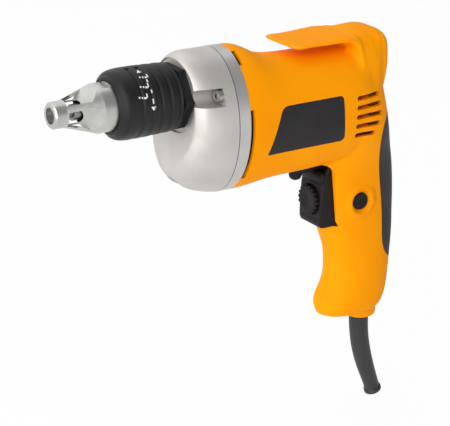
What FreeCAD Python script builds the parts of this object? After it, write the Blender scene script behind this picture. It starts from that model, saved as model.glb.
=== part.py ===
"""Drywall screwdriver: depth-setting nose, gear case, motor, clamshell housing and controls.

The origin is the centre of the nose's flat face, on the spindle's axis. +X runs from the nose to
the back of the tool, -Y is the tool's left and +Z is up. Lengths are in millimetres.
"""
import FreeCAD, Part
import math
import os
import Sketcher
from types import SimpleNamespace
from FreeCAD import Placement, Rotation, Vector

SIZES = {
    # Locator, the nose piece that meets the board
    "nose_radius": 8.6,
    "nose_bore_radius": 5.35,
    "nose_chamfer": 1.0,
    "nose_ring_length": 8.0,
    "nose_floor": 6.0,
    "cone_length": 23.0,
    "locator_radius": 16.0,
    "locator_length": 45.0,
    "locator_wall": 2.4,
    "cavity_radius": 7.0,
    "spigot_radius": 14.0,
    "spigot_length": 12.0,
    "window_front": 8.8,
    "window_floor_length": 9.5,
    "window_slope_length": 11.5,
    "window_floor_radius": 5.6,
    "window_front_width": 9.6,
    "window_middle_width": 13.4,
    "window_rear_width": 20.0,
    "window_lean": 15.0,
    "wrench_flat_width": 29.0,
    "wrench_flat_length": 7.0,
    "ring_wire_radius": 0.9,
    # Index ring and depth sleeve
    "index_length": 14.0,
    "index_radius": 19.4,
    "sleeve_front": 40.0,
    "sleeve_length": 44.5,
    "sleeve_radius": 23.2,
    "sleeve_rear_radius": 22.4,
    "sleeve_mouth_radius": 18.0,
    "sleeve_cone_length": 10.0,
    "sleeve_mouth_round": 1.0,
    "sleeve_groove_start": 27.0,
    "sleeve_groove_pitch": 7.0,
    "sleeve_groove_width": 1.8,
    "sleeve_groove_depth": 0.9,
    "sleeve_pad_lean": 110.0,
    "sleeve_pad_angle": 250.0,
    # Nose tube with its hexagon flange
    "tube_radius": 18.0,
    "tube_front_gap": 2.0,
    "hex_gap": 1.0,
    "hex_radius": 22.5,
    "hex_blunt_radius": 22.0,
    "hex_length": 5.8,
    "hex_recess": 2.8,
    "hex_recess_radius": 24.6,
    "tube_spigot_radius": 16.0,
    "tube_spigot_length": 5.0,
    # Bit, bit holder and spindle
    "bit_recess": 5.2,
    "bit_point_length": 4.5,
    "bit_point_radius": 1.2,
    "bit_neck_radius": 2.9,
    "bit_neck_length": 5.0,
    "bit_hex_radius": 3.6,
    "bit_length": 25.0,
    "bit_flute_width": 1.9,
    "magnet_length": 4.0,
    "holder_front": 14.6,
    "holder_radius": 5.2,
    "holder_length": 31.0,
    "holder_shank_length": 21.0,
    "spindle_radius": 7.0,
    "spindle_ring_offset": 8.0,
    "bit_ring_wire_radius": 0.6,
    "jaw_radius": 12.0,
    "jaw_thickness": 3.2,
    "jaw_gap": 0.5,
    "dog_inner_radius": 8.8,
    "dog_height": 2.0,
    "dog_angle": 42.0,
    "clutch_gap": 0.6,
    "journal_radius": 5.0,
    "journal_length": 21.5,
    "bush_wall": 4.0,
    "bush_length": 22.0,
    "rear_bush_wall": 2.0,
    "rear_bush_length": 9.0,
    # Gears
    "gear_module": 1.0,
    "gear_width": 9.0,
    "pinion_overhang": 0.8,
    "tooth_thinning": 0.14,
    "spring_pocket_depth": 3.0,
    "washer_thickness": 1.3,
    "washer_radius": 9.0,
    # Clutch spring
    "clutch_spring_radius": 7.0,
    "clutch_spring_wire": 0.45,
    # Gear case, gasket and plate
    "rim_half_width": 36.0,
    "rim_top": 28.5,
    "rim_bottom": 70.0,
    "case_length": 29.0,
    "case_wall": 3.6,
    "gasket_thickness": 0.5,
    "gasket_width": 3.0,
    "plate_thickness": 8.5,
    "bush_boss_wall": 2.2,
    "case_screw_radius": 2.4,
    "case_screw_head_radius": 4.4,
    "case_screw_head_height": 3.6,
    "case_screw_length": 30.0,
    "side_screw_offset": 26.0,
    "side_screw_height": 3.6,
    "bottom_screw_depth": 60.5,
    "channel_half_width": 5.6,
    "channel_wall": 2.4,
    "screw_land": 8.5,
    # Motor
    "shaft_radius": 4.0,
    "shaft_pilot_radius": 6.2,
    "shaft_length": 127.0,
    "front_bearing_radius": 11.0,
    "front_bearing_length": 7.0,
    "rear_bearing_radius": 9.5,
    "rear_bearing_length": 6.0,
    "rear_bearing_place": 96.0,
    "fan_place": 3.2,
    "fan_radius": 27.0,
    "fan_hub_radius": 9.0,
    "fan_disc_thickness": 1.8,
    "fan_blade_height": 9.5,
    "fan_blade_thickness": 1.4,
    "core_place": 25.5,
    "core_length": 38.0,
    "core_radius": 15.5,
    "core_slot_width": 2.0,
    "core_slot_depth": 5.0,
    "winding_length": 8.0,
    "winding_radius": 13.0,
    "commutator_gap": 4.5,
    "commutator_length": 12.0,
    "commutator_radius": 10.5,
    "commutator_slot_width": 0.5,
    "commutator_slot_depth": 0.8,
    "field_radius": 28.0,
    "field_yoke": 4.0,
    "field_air_gap": 0.7,
    "coil_overhang": 6.0,
    "coil_clearance": 0.4,
    "brush_width": 6.4,
    "brush_height": 8.0,
    "brush_length": 13.0,
    "brush_holder_wall": 1.5,
    "brush_holder_length": 16.8,
    "brush_seat_depth": 6.0,
    "brush_gap": 0.1,
    # Housing
    "body_length": 115.5,
    "body_half_width": 34.0,
    "body_top": 37.8,
    "body_bottom": 43.3,
    "housing_wall": 2.8,
    "handle_place": 241.0,
    "handle_depth": 48.0,
    "handle_half_width": 18.0,
    "handle_length": 160.5,
    "hook_tip": 172.5,
    "hook_length": 80.0,
    "hook_half_width": 20.0,
    "hook_height": 30.0,
    "cutout_rear": 210.0,
    "cutout_slant": 6.0,
    "cutout_top": 65.0,
    "cutout_height": 47.0,
    "cutout_length": 17.0,
    "cutout_corner": 6.0,
    "vent_front": 214.5,
    "vent_length": 23.5,
    "vent_height": 3.3,
    "vent_pitch": 6.6,
    "vent_top": 12.8,
    "vent_depth": 14.0,
    "exhaust_width": 3.5,
    "rib_thickness": 3.0,
    "rib_margin": 6.0,
    "post_radius": 4.8,
    "housing_screw_radius": 1.9,
    "housing_screw_head_radius": 3.4,
    "housing_screw_head_height": 2.4,
    "housing_screw_reach": 11.0,
    "screw_well_radius": 3.8,
    # Soft grip and name plates
    "grip_depth": 1.6,
    "plate_depth": 0.8,
    "name_plate_front": 142.0,
    "name_plate_length": 63.5,
    "name_plate_slant": 10.8,
    "name_plate_rake": 2.8,
    "name_plate_top": 8.6,
    "name_plate_height": 32.0,
    "name_plate_corner": 3.2,
    "name_plate_sharp_corner": 0.8,
    "name_plate_large_corner": 6.5,
    # Switch, trigger, dial, lever and lock button
    "switch_length": 27.0,
    "switch_height": 38.0,
    "switch_half_width": 10.0,
    "trigger_front": 202.5,
    "trigger_depth": 16.5,
    "trigger_top": 66.2,
    "trigger_height": 44.4,
    "trigger_half_width": 13.0,
    "trigger_round": 2.2,
    "trigger_travel": 6.5,
    "plunger_radius": 3.5,
    "plunger_length": 12.0,
    "dial_radius": 10.9,
    "dial_thickness": 6.4,
    "dial_proud": 3.0,
    "dial_drop": 26.1,
    "dial_notch_radius": 1.0,
    "dial_pin_radius": 2.0,
    "lever_front": 184.5,
    "lever_length": 47.0,
    "lever_thickness": 4.6,
    "lever_tab_drop": 3.0,
    "lever_channel_half_width": 10.2,
    "lever_half_width": 4.6,
    "lever_hub_radius": 7.0,
    "lever_pin_radius": 2.4,
    "button_radius": 6.0,
    "button_place": 233.2,
    "button_drop": 94.0,
    "button_proud": 0.5,
    "button_blunt": 0.8,
    "button_flange_radius": 7.4,
    "button_flange_thickness": 0.9,
    "button_flange_gap": 0.6,
    "button_dish_radius": 11.0,
    "button_dish_depth": 1.5,
    "trigger_spring_radius": 5.2,
    "trigger_spring_wire": 0.4,
    "lock_spring_radius": 4.2,
    "lock_spring_wire": 0.3,
    # Cord guard and clamp
    "guard_place": 251.0,
    "guard_start": 187.0,
    "guard_radius": 7.7,
    "guard_end_radius": 5.7,
    "guard_bore_radius": 3.9,
    "guard_bend_radius": 128.0,
    "guard_bend_angle": 21.0,
    "guard_lead": 1.0,
    "guard_tail": 24.5,
    "guard_rim_radius": 6.5,
    "guard_rim_length": 2.4,
    "guard_flange_radius": 10.0,
    "guard_flange_length": 3.0,
    "guard_boss_radius": 12.0,
    "guard_boss_length": 16.0,
    "clamp_length": 19.0,
    "clamp_offset": 4.0,
    "clamp_width": 7.0,
    "clamp_thickness": 3.0,
    "clamp_height": 15.0,
    "clamp_gap": 4.4,
    "clamp_screw_radius": 1.6,
    "clamp_screw_head_radius": 3.0,
    "clamp_screw_head_height": 2.2,
    "clamp_screw_length": 8.0,
    "clamp_post_radius": 3.6,
    # Clearances
    "running_clearance": 0.05,
    "seat_clearance": 0.1,
    "sliding_clearance": 0.3,
    "overrun": 5.0,
}

PINION_TEETH = 9
GEAR_TEETH = 35
PRESSURE_ANGLE = 25.0
ADDENDUM_SHARE = 0.8
DEDENDUM_SHARE = 1.05
HEX_SIDES = 6
WINDOWS = 4
SLEEVE_REAR_GROOVES = 3
SLEEVE_FRONT_GROOVES = 2
CLUTCH_DOGS = 3
FLUTES = 4
CORE_SLOTS = 12
COMMUTATOR_BARS = 24
FAN_BLADES = 13
DIAL_NOTCHES = 20
CLUTCH_SPRING_TURNS = 3
TRIGGER_SPRING_TURNS = 4
LOCK_SPRING_TURNS = 2
SECTION_POINTS = 20

# Gear case from its front to its rim: along its length, half width, top and bottom of the rim.
CASE_SECTION_SHARES = (
    (0.00, 0.700, 0.800, 0.660),
    (0.09, 0.795, 0.940, 0.765),
    (0.26, 0.890, 0.995, 0.865),
    (0.54, 0.967, 1.000, 0.950),
    (1.00, 1.000, 1.000, 1.000),
)
# Housing's barrel from the plate to its back: along its length, how much of the rim's extra size
# it keeps, half width, top and bottom about the motor's axis, and the corners' squareness.
BODY_SECTION_SHARES = (
    (0.000, 1.00, 1.00, 1.00, 1.00, 2.00),
    (0.048, 0.99, 1.00, 1.00, 1.00, 2.00),
    (0.125, 0.78, 1.00, 1.00, 1.00, 2.10),
    (0.203, 0.42, 1.00, 1.00, 1.00, 2.25),
    (0.307, 0.14, 1.00, 1.00, 1.00, 2.40),
    (0.506, 0.00, 1.00, 1.00, 1.00, 2.50),
    (0.723, 0.00, 0.99, 1.01, 0.98, 2.50),
    (0.879, 0.00, 0.93, 0.96, 0.92, 2.40),
    (0.948, 0.00, 0.82, 0.78, 0.74, 2.20),
    (1.000, 0.00, 0.59, 0.47, 0.51, 2.00),
)
# Handle from inside the barrel to its foot: down its length from the motor's axis, front and back
# of its middle in its depth, half width, and the corners' squareness.
HANDLE_SECTION_SHARES = (
    (-0.150, 0.850, 0.156, 1.35, 2.3),
    (-0.062, 0.850, 0.210, 1.67, 2.4),
    (0.031, 0.850, 0.274, 1.81, 2.4),
    (0.125, 0.792, 0.348, 1.75, 2.4),
    (0.200, 0.750, 0.418, 1.52, 2.5),
    (0.275, 0.771, 0.498, 1.27, 2.7),
    (0.362, 0.790, 0.563, 1.10, 2.8),
    (0.475, 0.750, 0.601, 1.03, 2.8),
    (0.562, 0.600, 0.622, 1.00, 2.6),
    (0.612, 0.550, 0.633, 1.00, 2.5),
    (0.688, 0.454, 0.632, 1.00, 2.4),
    (0.775, 0.417, 0.621, 1.00, 2.4),
    (0.850, 0.432, 0.604, 1.01, 2.4),
    (0.912, 0.512, 0.570, 1.03, 2.5),
    (0.956, 0.563, 0.524, 1.02, 2.5),
    (0.985, 0.554, 0.469, 0.95, 2.4),
    (1.000, 0.547, 0.375, 0.82, 2.2),
)
# Belt hook from its tip to its root: along its length, top and underside in its height, and the
# half widths of its top and of its underside.
HOOK_SECTION_SHARES = (
    (0.000, 0.833, 0.787, 0.76, 0.76),
    (0.020, 0.846, 0.757, 0.91, 0.91),
    (0.120, 0.848, 0.750, 0.97, 0.97),
    (0.345, 0.864, 0.748, 1.00, 1.00),
    (0.440, 0.873, 0.748, 1.02, 1.02),
    (0.505, 0.879, 0.742, 1.04, 1.05),
    (0.550, 0.884, 0.720, 1.06, 1.08),
    (0.590, 0.890, 0.650, 1.08, 1.13),
    (0.618, 0.897, 0.520, 1.09, 1.19),
    (0.636, 0.903, 0.320, 1.10, 1.27),
    (0.650, 0.910, 0.000, 1.105, 1.35),
    (0.668, 0.920, -0.500, 1.115, 1.46),
    (0.706, 0.938, -1.150, 1.13, 1.58),
    (0.794, 0.945, -1.300, 1.14, 1.55),
    (0.870, 0.930, -1.050, 1.11, 1.26),
    (0.905, 0.910, -0.600, 1.06, 1.21),
    (0.935, 0.885, -0.260, 1.00, 1.15),
    (0.983, 0.770, -0.030, 0.81, 0.88),
    (1.013, 0.590, 0.150, 0.54, 0.57),
    (1.025, 0.440, 0.280, 0.23, 0.24),
)
HOOK_SQUARENESS = 3.6
# Handle's half width at the lock button.
LOCK_WIDTH_SHARE = 1.035
# Soft grip's edge on the side of the handle: down the handle's length, and back of its middle.
GRIP_EDGE_SHARES = (
    (0.025, 0.190),
    (0.044, 0.090),
    (0.068, 0.023),
    (0.112, -0.029),
    (0.208, 0.008),
    (0.284, 0.081),
    (0.421, 0.198),
    (0.596, 0.281),
    (0.675, 0.313),
    (0.724, 0.388),
    (0.762, 0.560),
)
# Housing screws: along the barrel and up from the motor's axis, then along the handle's depth and
# down its length.
BODY_SCREW_SHARES = ((0.125, 0.97), (0.215, -0.83), (0.955, 0.85))
HANDLE_SCREW_SHARES = ((-0.32, 0.93), (0.12, 0.66))
# Vents: the rounding of their ends in their height, and their lengths from the top one down.
VENT_END_SHARE = 0.45
VENT_LENGTH_SHARES = (0.92, 1.00, 1.02, 0.93, 0.76)
# Exhaust gaps in the housing's front edge: from and to, as shares of the rim's bottom and top.
LOWER_EXHAUST_SHARES = (-0.80, -0.10)
UPPER_EXHAUST_SHARES = (0.66, 0.93)
# Trigger's front from its top to its foot: down its height and back in its depth.
TRIGGER_FRONT_SHARES = (
    (0.00, 0.40),
    (0.10, 0.24),
    (0.22, 0.12),
    (0.36, 0.04),
    (0.60, 0.00),
    (0.93, 0.00),
    (1.00, 0.08),
)

ALONG_X = Rotation(Vector(0, 1, 0), 90)
ALONG_Y = Rotation(Vector(1, 0, 0), -90)
FACING_X = Rotation(Vector(1, 1, 1), 120)
OVAL_UPRIGHT = Rotation(Vector(0, 0, 1), Vector(0, -1, 0), Vector(1, 0, 0))


class Size:
    """A length with the expression that works it out from the sheet's cells."""

    def __init__(self, value, text):
        self.value = value
        self.text = text

    def __float__(self):
        return float(self.value)

    def __add__(self, other):
        other = as_size(other)
        return Size(self.value + other.value, f"({self.text} + {other.text})")

    def __sub__(self, other):
        other = as_size(other)
        return Size(self.value - other.value, f"({self.text} - {other.text})")

    def __mul__(self, other):
        other = as_size(other)
        return Size(self.value * other.value, f"({self.text} * {other.text})")

    def __truediv__(self, other):
        other = as_size(other)
        return Size(self.value / other.value, f"({self.text} / {other.text})")

    def __neg__(self):
        return Size(-self.value, f"(0 - {self.text})")

    __radd__ = __add__
    __rmul__ = __mul__


def as_size(number):
    return number if isinstance(number, Size) else Size(number, repr(number))


doc = FreeCAD.newDocument("drywall_screwdriver")
sheet = doc.addObject("Spreadsheet::Sheet", "dim")
for row, (alias, length) in enumerate(SIZES.items(), start=1):
    sheet.set(f"A{row}", alias)
    sheet.set(f"B{row}", str(length))
    sheet.setAlias(f"B{row}", alias)
doc.recompute()
dim = SimpleNamespace(**{alias: Size(sheet.get(alias), f"dim.{alias}") for alias in SIZES})
nodes = []


# Building blocks


def keep(thing, label):
    thing.Label = label
    nodes.append(thing)
    return thing


def point(x, y, z):
    return Vector(float(x), float(y), float(z))


def bind(thing, **sizes):
    for name, size in sizes.items():
        thing.setExpression(name, as_size(size).text)


def place(thing, x, y, z, turn=Rotation()):
    thing.Placement = Placement(point(x, y, z), turn)
    for axis, size in zip("xyz", (x, y, z)):
        thing.setExpression(f".Placement.Base.{axis}", as_size(size).text)


def rod(name, radius, length, x, y=0, z=0, turn=ALONG_X):
    piece = doc.addObject("Part::Cylinder", name)
    bind(piece, Radius=radius, Height=length)
    place(piece, x, y, z, turn)
    return piece


def sector(name, radius, length, angle, middle, x, z):
    """Wedge of a rod along X, centred on an angle from +Z towards -Y."""
    turn = Rotation(Vector(1, 0, 0), middle - 180 - float(angle) / 2)
    piece = rod(name, radius, length, x, 0, z, turn * ALONG_X)
    bind(piece, Angle=angle)
    return piece


def block(name, size_x, size_y, size_z, x, y, z):
    piece = doc.addObject("Part::Box", name)
    bind(piece, Length=size_x, Width=size_y, Height=size_z)
    place(piece, x, y, z)
    return piece


def hexagon(name, radius, length, x, spin):
    piece = doc.addObject("Part::Prism", name)
    piece.Polygon = HEX_SIDES
    bind(piece, Circumradius=radius, Height=length)
    place(piece, x, 0, 0, ALONG_X * Rotation(Vector(0, 0, 1), spin))
    return piece


def fuse(name, *pieces):
    joined = doc.addObject("Part::MultiFuse", name)
    joined.Shapes = list(pieces)
    return joined


def cut(name, base, *tools):
    result = doc.addObject("Part::Cut", name)
    result.Base = base
    result.Tool = tools[0] if len(tools) == 1 else fuse(f"{name}_tools", *tools)
    return result


def common(name, first, second):
    result = doc.addObject("Part::Common", name)
    result.Base = first
    result.Tool = second
    return result


def group(label, *pieces):
    joined = doc.addObject("Part::Compound", label)
    joined.Links = list(pieces)
    return keep(joined, label)


def tube(name, outer, inner, length, x, z=0):
    solid = rod(f"{name}_outside", outer, length, x, 0, z)
    bore = rod(f"{name}_bore", inner, length + dim.overrun * 2, x - dim.overrun, 0, z)
    return cut(name, solid, bore)


def screw(name, radius, length, head_radius, head_height, x, y, z, turn, step):
    """Head and shank along one axis; step is the unit direction from the head to the point."""
    seat = [at + head_height * way for at, way in zip((x, y, z), step)]
    head = rod(f"{name}_head", head_radius, head_height, x, y, z, turn)
    shank = rod(f"{name}_shank", radius, length, *seat, turn)
    return fuse(name, head, shank)


def new_body(label):
    return keep(doc.addObject("PartDesign::Body", label), label)


def origin_plane(body, role):
    return next(plane for plane in body.Origin.OriginFeatures if plane.Role == role)


def outline(body, role, points, offset=None, lean=0.0, about=Vector(1, 0, 0)):
    """Closed sketch of straight lines whose corners are bound to the sheet."""
    sketch = body.newObject("Sketcher::SketchObject", f"{body.Name}_sketch")
    sketch.AttachmentSupport = [(origin_plane(body, role), "")]
    sketch.MapMode = "FlatFace"
    sketch.AttachmentOffset = Placement(Vector(), Rotation(about, lean))
    if offset is not None:
        sketch.setExpression(".AttachmentOffset.Base.z", as_size(offset).text)
    corners = [(as_size(across), as_size(up)) for across, up in points]
    count = len(corners)
    for here, there in zip(corners, corners[1:] + corners[:1]):
        sketch.addGeometry(Part.LineSegment(point(*here, 0), point(*there, 0)), False)
    for index, (across, up) in enumerate(corners):
        sketch.addConstraint(Sketcher.Constraint("Coincident", index, 2, (index + 1) % count, 1))
        for kind, size in (("DistanceX", across), ("DistanceY", up)):
            held = sketch.addConstraint(Sketcher.Constraint(kind, -1, 1, index, 1, float(size)))
            sketch.setExpression(f"Constraints[{held}]", size.text)
    return sketch


def circle(body, role, radius, across=0, up=0, offset=None):
    sketch = body.newObject("Sketcher::SketchObject", f"{body.Name}_circle")
    sketch.AttachmentSupport = [(origin_plane(body, role), "")]
    sketch.MapMode = "FlatFace"
    if offset is not None:
        sketch.setExpression(".AttachmentOffset.Base.z", as_size(offset).text)
    across, up = as_size(across), as_size(up)
    sketch.addGeometry(Part.Circle(point(across, up, 0), Vector(0, 0, 1), float(radius)), False)
    for kind, size in (("DistanceX", across), ("DistanceY", up)):
        held = sketch.addConstraint(Sketcher.Constraint(kind, -1, 1, 0, 3, float(size)))
        sketch.setExpression(f"Constraints[{held}]", size.text)
    held = sketch.addConstraint(Sketcher.Constraint("Radius", 0, float(radius)))
    sketch.setExpression(f"Constraints[{held}]", radius.text)
    return sketch


def extrude(body, kind, sketch, length, both_ways=False, backwards=False):
    feature = body.newObject(f"PartDesign::{kind}", f"{body.Name}_{kind.lower()}")
    feature.Profile = sketch
    bind(feature, Length=length)
    feature.Midplane = both_ways
    feature.Reversed = backwards
    return feature


def around_x(body, feature, copies, axis_sketch):
    pattern = body.newObject("PartDesign::PolarPattern", f"{body.Name}_pattern")
    pattern.Originals = [feature]
    pattern.Axis = (axis_sketch, ["H_Axis"])
    pattern.Angle = 360
    pattern.Occurrences = copies
    body.Tip = pattern
    return pattern


def turned(label, points):
    """Body turned about the X axis from a profile of (along, radius) corners."""
    body = new_body(label)
    profile = outline(body, "XZ_Plane", points)
    revolution = body.newObject("PartDesign::Revolution", f"{label}_turning")
    revolution.Profile = profile
    revolution.ReferenceAxis = (profile, ["H_Axis"])
    revolution.Angle = 360
    return body, profile


def solid_of(label, shape):
    piece = doc.addObject("Part::Feature", label)
    piece.Shape = shape
    piece.Placement = Placement()
    return keep(piece, label)


def rounded(points, radii):
    """Closed wire through corner points, each rounded with its own radius."""
    edges = []
    starts = []
    ends = []
    count = len(points)
    for index, radius in enumerate(map(float, radii)):
        here = points[index]
        back = (points[index - 1] - here).normalize()
        ahead = (points[(index + 1) % count] - here).normalize()
        half = back.getAngle(ahead) / 2
        run = radius / math.tan(half)
        middle = here + (back + ahead).normalize() * (radius / math.sin(half) - radius)
        starts.append(here + back * run)
        ends.append(here + ahead * run)
        edges.append(Part.Arc(starts[-1], middle, ends[-1]).toShape())
    for index in range(count):
        edges.append(Part.LineSegment(ends[index], starts[(index + 1) % count]).toShape())
    return Part.Wire(Part.__sortEdges__(edges))


def prism(wire, way):
    return Part.Face(wire).extrude(way)


def coil(label, radius, wire, turns, start, length, turn):
    """Wound spring of quarter-turn arcs between two flat ends, along the local Z axis."""
    reach = float(length) - float(wire) * 2

    def on_helix(share):
        angle = share * turns * math.tau
        rise = float(wire) + reach * share
        return Vector(float(radius) * math.cos(angle), float(radius) * math.sin(angle), rise)

    steps = turns * 4
    arcs = [
        Part.Arc(on_helix(k / steps), on_helix((k + 0.5) / steps), on_helix((k + 1) / steps)).toShape()
        for k in range(steps)
    ]
    path = Part.Wire(arcs)
    section = Part.Wire(Part.makeCircle(float(wire), on_helix(0), path.Edges[0].tangentAt(0)))
    samples = [on_helix(k / steps / 8) for k in range(steps * 8 + 1)]
    half_turn = len(samples) // turns // 2
    least_gap = min(
        samples[here].distanceToPoint(samples[there])
        for here in range(len(samples))
        for there in range(here + half_turn, len(samples))
    ) - float(wire) * 2
    print(f"{label}: least gap between turns {least_gap:.2f} mm")
    piece = solid_of(label, path.makePipeShell([section], True, False))
    piece.Placement = Placement(point(*start), turn)
    return piece


# Stations along the spindle's axis, and the motor's axis below it
x_index_end = dim.locator_length + dim.index_length
x_sleeve_end = dim.sleeve_front + dim.sleeve_length
x_hex = x_sleeve_end + dim.hex_gap
x_hex_end = x_hex + dim.hex_length
x_tube = x_index_end + dim.tube_front_gap
x_tube_end = x_hex_end + dim.tube_spigot_length
x_case = x_hex_end - dim.hex_recess
x_rim = x_case + dim.case_length
x_plate = x_rim + dim.gasket_thickness
x_body = x_plate + dim.plate_thickness
x_jaw = x_tube_end + dim.jaw_gap
x_jaw_end = x_jaw + dim.jaw_thickness
x_dogs = x_jaw_end + dim.dog_height + dim.clutch_gap
x_gear = x_dogs + dim.dog_height
x_gear_end = x_gear + dim.gear_width
x_washer = x_gear_end + dim.seat_clearance
x_washer_end = x_washer + dim.washer_thickness
x_holder_end = dim.holder_front + dim.holder_length
x_spindle = x_holder_end + dim.sliding_clearance
x_core = x_body + dim.core_place
x_core_end = x_core + dim.core_length
x_commutator = x_core_end + dim.winding_length + dim.commutator_gap
motor_drop = dim.gear_module * ((PINION_TEETH + GEAR_TEETH) / 2)
z_motor = -motor_drop


# Locator: a die-cast nose with four scooped windows, two wrench flats and a spigot at its back
spigot_end = dim.locator_length + dim.spigot_length
groove_floor = dim.spigot_radius - dim.ring_wire_radius * 2 - dim.running_clearance
groove_start = dim.locator_length + dim.spigot_length / 2 - dim.ring_wire_radius - dim.running_clearance
groove_end = groove_start + (dim.ring_wire_radius + dim.running_clearance) * 2
cone_end = dim.nose_ring_length + dim.cone_length
spigot_bore = dim.spigot_radius - dim.ring_wire_radius * 2 - dim.locator_wall
locator, locator_profile = turned("locator", [
    (0, dim.nose_bore_radius),
    (0, dim.nose_radius - dim.nose_chamfer),
    (dim.nose_chamfer, dim.nose_radius),
    (dim.nose_ring_length, dim.nose_radius),
    (cone_end, dim.locator_radius),
    (dim.locator_length, dim.locator_radius),
    (dim.locator_length, dim.spigot_radius),
    (groove_start, dim.spigot_radius),
    (groove_start, groove_floor),
    (groove_end, groove_floor),
    (groove_end, dim.spigot_radius),
    (spigot_end, dim.spigot_radius),
    (spigot_end, spigot_bore),
    (cone_end, spigot_bore),
    (cone_end - spigot_bore + dim.cavity_radius, dim.cavity_radius),
    (dim.nose_floor, dim.cavity_radius),
    (dim.nose_floor, dim.nose_bore_radius),
])
window_slope = dim.window_front + dim.window_floor_length
window_rear = window_slope + dim.window_slope_length
window_reach = dim.locator_radius + dim.overrun
window_sections = []
for x, width, floor in (
    (dim.window_front, dim.window_front_width, dim.window_floor_radius),
    (window_slope, dim.window_middle_width, dim.window_floor_radius),
    (window_rear, dim.window_rear_width, dim.locator_radius),
):
    section = outline(locator, "YZ_Plane", [
        (-width / 2, floor),
        (width / 2, floor),
        (width / 2, window_reach),
        (-width / 2, window_reach),
    ], offset=x, lean=SIZES["window_lean"], about=Vector(0, 0, 1))
    section.setExpression(".AttachmentOffset.Rotation.Angle", dim.window_lean.text)
    window_sections.append(section)
window = locator.newObject("PartDesign::SubtractiveLoft", "locator_window")
window.Profile = window_sections[0]
window.Sections = window_sections[1:]
window.Ruled = True
around_x(locator, window, WINDOWS, locator_profile)
flat_start = dim.sleeve_front - dim.wrench_flat_length
for side in (1, -1):
    flat = outline(locator, "XZ_Plane", [
        (flat_start, dim.wrench_flat_width / 2 * side),
        (dim.sleeve_front, dim.wrench_flat_width / 2 * side),
        (dim.sleeve_front, window_reach * side),
        (flat_start, window_reach * side),
    ])
    extrude(locator, "Pocket", flat, window_reach * 2, both_ways=True)

locator_ring = keep(doc.addObject("Part::Torus", "locator_ring"), "locator_ring")
bind(locator_ring, Radius1=dim.spigot_radius - dim.ring_wire_radius, Radius2=dim.ring_wire_radius)
place(locator_ring, dim.locator_length + dim.spigot_length / 2, 0, 0, ALONG_X)

# Index ring: the keyed seat that carries the locator inside the sleeve
index_bore = dim.spigot_radius + dim.running_clearance
turned("index_ring", [
    (dim.locator_length, index_bore),
    (dim.locator_length, dim.index_radius),
    (x_index_end, dim.index_radius),
    (x_index_end, index_bore),
])

# Depth sleeve: a ribbed collar, threaded on the nose tube and turning on the index ring
mouth_bore = dim.locator_radius + dim.sliding_clearance
index_room = dim.index_radius + dim.sliding_clearance
thread_bore = dim.tube_radius + dim.sliding_clearance
cone_top = dim.sleeve_front + dim.sleeve_cone_length
sleeve, sleeve_profile = turned("depth_sleeve", [
    (dim.sleeve_front, mouth_bore),
    (dim.sleeve_front, dim.sleeve_mouth_radius - dim.sleeve_mouth_round / 2),
    (dim.sleeve_front + dim.sleeve_mouth_round / 2, dim.sleeve_mouth_radius),
    (cone_top - dim.sleeve_mouth_round, dim.sleeve_radius - dim.sleeve_mouth_round / 2),
    (cone_top, dim.sleeve_radius),
    (dim.sleeve_front + dim.sleeve_groove_start, dim.sleeve_radius),
    (x_sleeve_end - dim.sleeve_mouth_round, dim.sleeve_rear_radius),
    (x_sleeve_end, dim.sleeve_rear_radius - dim.sleeve_mouth_round),
    (x_sleeve_end, thread_bore),
    (x_index_end + dim.sliding_clearance, thread_bore),
    (x_index_end + dim.sliding_clearance, index_room),
    (dim.locator_length - dim.sliding_clearance, index_room),
    (dim.locator_length - dim.sliding_clearance, mouth_bore),
])
for number in range(-SLEEVE_FRONT_GROOVES, SLEEVE_REAR_GROOVES):
    part_round = number < 0
    groove_x = dim.sleeve_front + dim.sleeve_groove_start + dim.sleeve_groove_pitch * number
    groove_top = dim.sleeve_radius if part_round else dim.sleeve_rear_radius
    groove = sleeve.newObject("PartDesign::Groove", "sleeve_groove")
    ring_sketch = outline(sleeve, "XZ_Plane", [
        (groove_x, dim.sleeve_radius + dim.overrun),
        (groove_x, groove_top),
        (groove_x + dim.sleeve_groove_width / 2, groove_top - dim.sleeve_groove_depth),
        (groove_x + dim.sleeve_groove_width, groove_top),
        (groove_x + dim.sleeve_groove_width, dim.sleeve_radius + dim.overrun),
    ], lean=SIZES["sleeve_pad_lean"])
    ring_sketch.setExpression(".AttachmentOffset.Rotation.Angle", dim.sleeve_pad_lean.text)
    groove.Profile = ring_sketch
    groove.ReferenceAxis = (ring_sketch, ["H_Axis"])
    groove.Angle = 360
    if part_round:
        bind(groove, Angle=dim.sleeve_pad_angle)

# Nose tube: threaded tube with a hexagon flange, set in the front of the gear case
bush_radius = dim.spindle_radius + dim.bush_wall
tube_solid = fuse(
    "nose_tube_solid",
    rod("nose_tube_thread", dim.tube_radius, x_hex_end - x_tube, x_tube),
    common(
        "nose_tube_flange",
        hexagon("nose_tube_hex", dim.hex_radius, dim.hex_length, x_hex, 30),
        rod("nose_tube_blunt", dim.hex_blunt_radius, dim.hex_length, x_hex),
    ),
    rod("nose_tube_spigot", dim.tube_spigot_radius, dim.tube_spigot_length, x_hex_end),
)
tube_bore = rod("nose_tube_bore", bush_radius, x_tube_end - x_tube + dim.overrun * 2, x_tube - dim.overrun)
keep(cut("nose_tube", tube_solid, tube_bore), "nose_tube")
x_bush = x_tube_end - dim.bush_length
keep(tube("spindle_bush", bush_radius, dim.spindle_radius + dim.running_clearance, dim.bush_length, x_bush),
     "spindle_bush")

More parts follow.
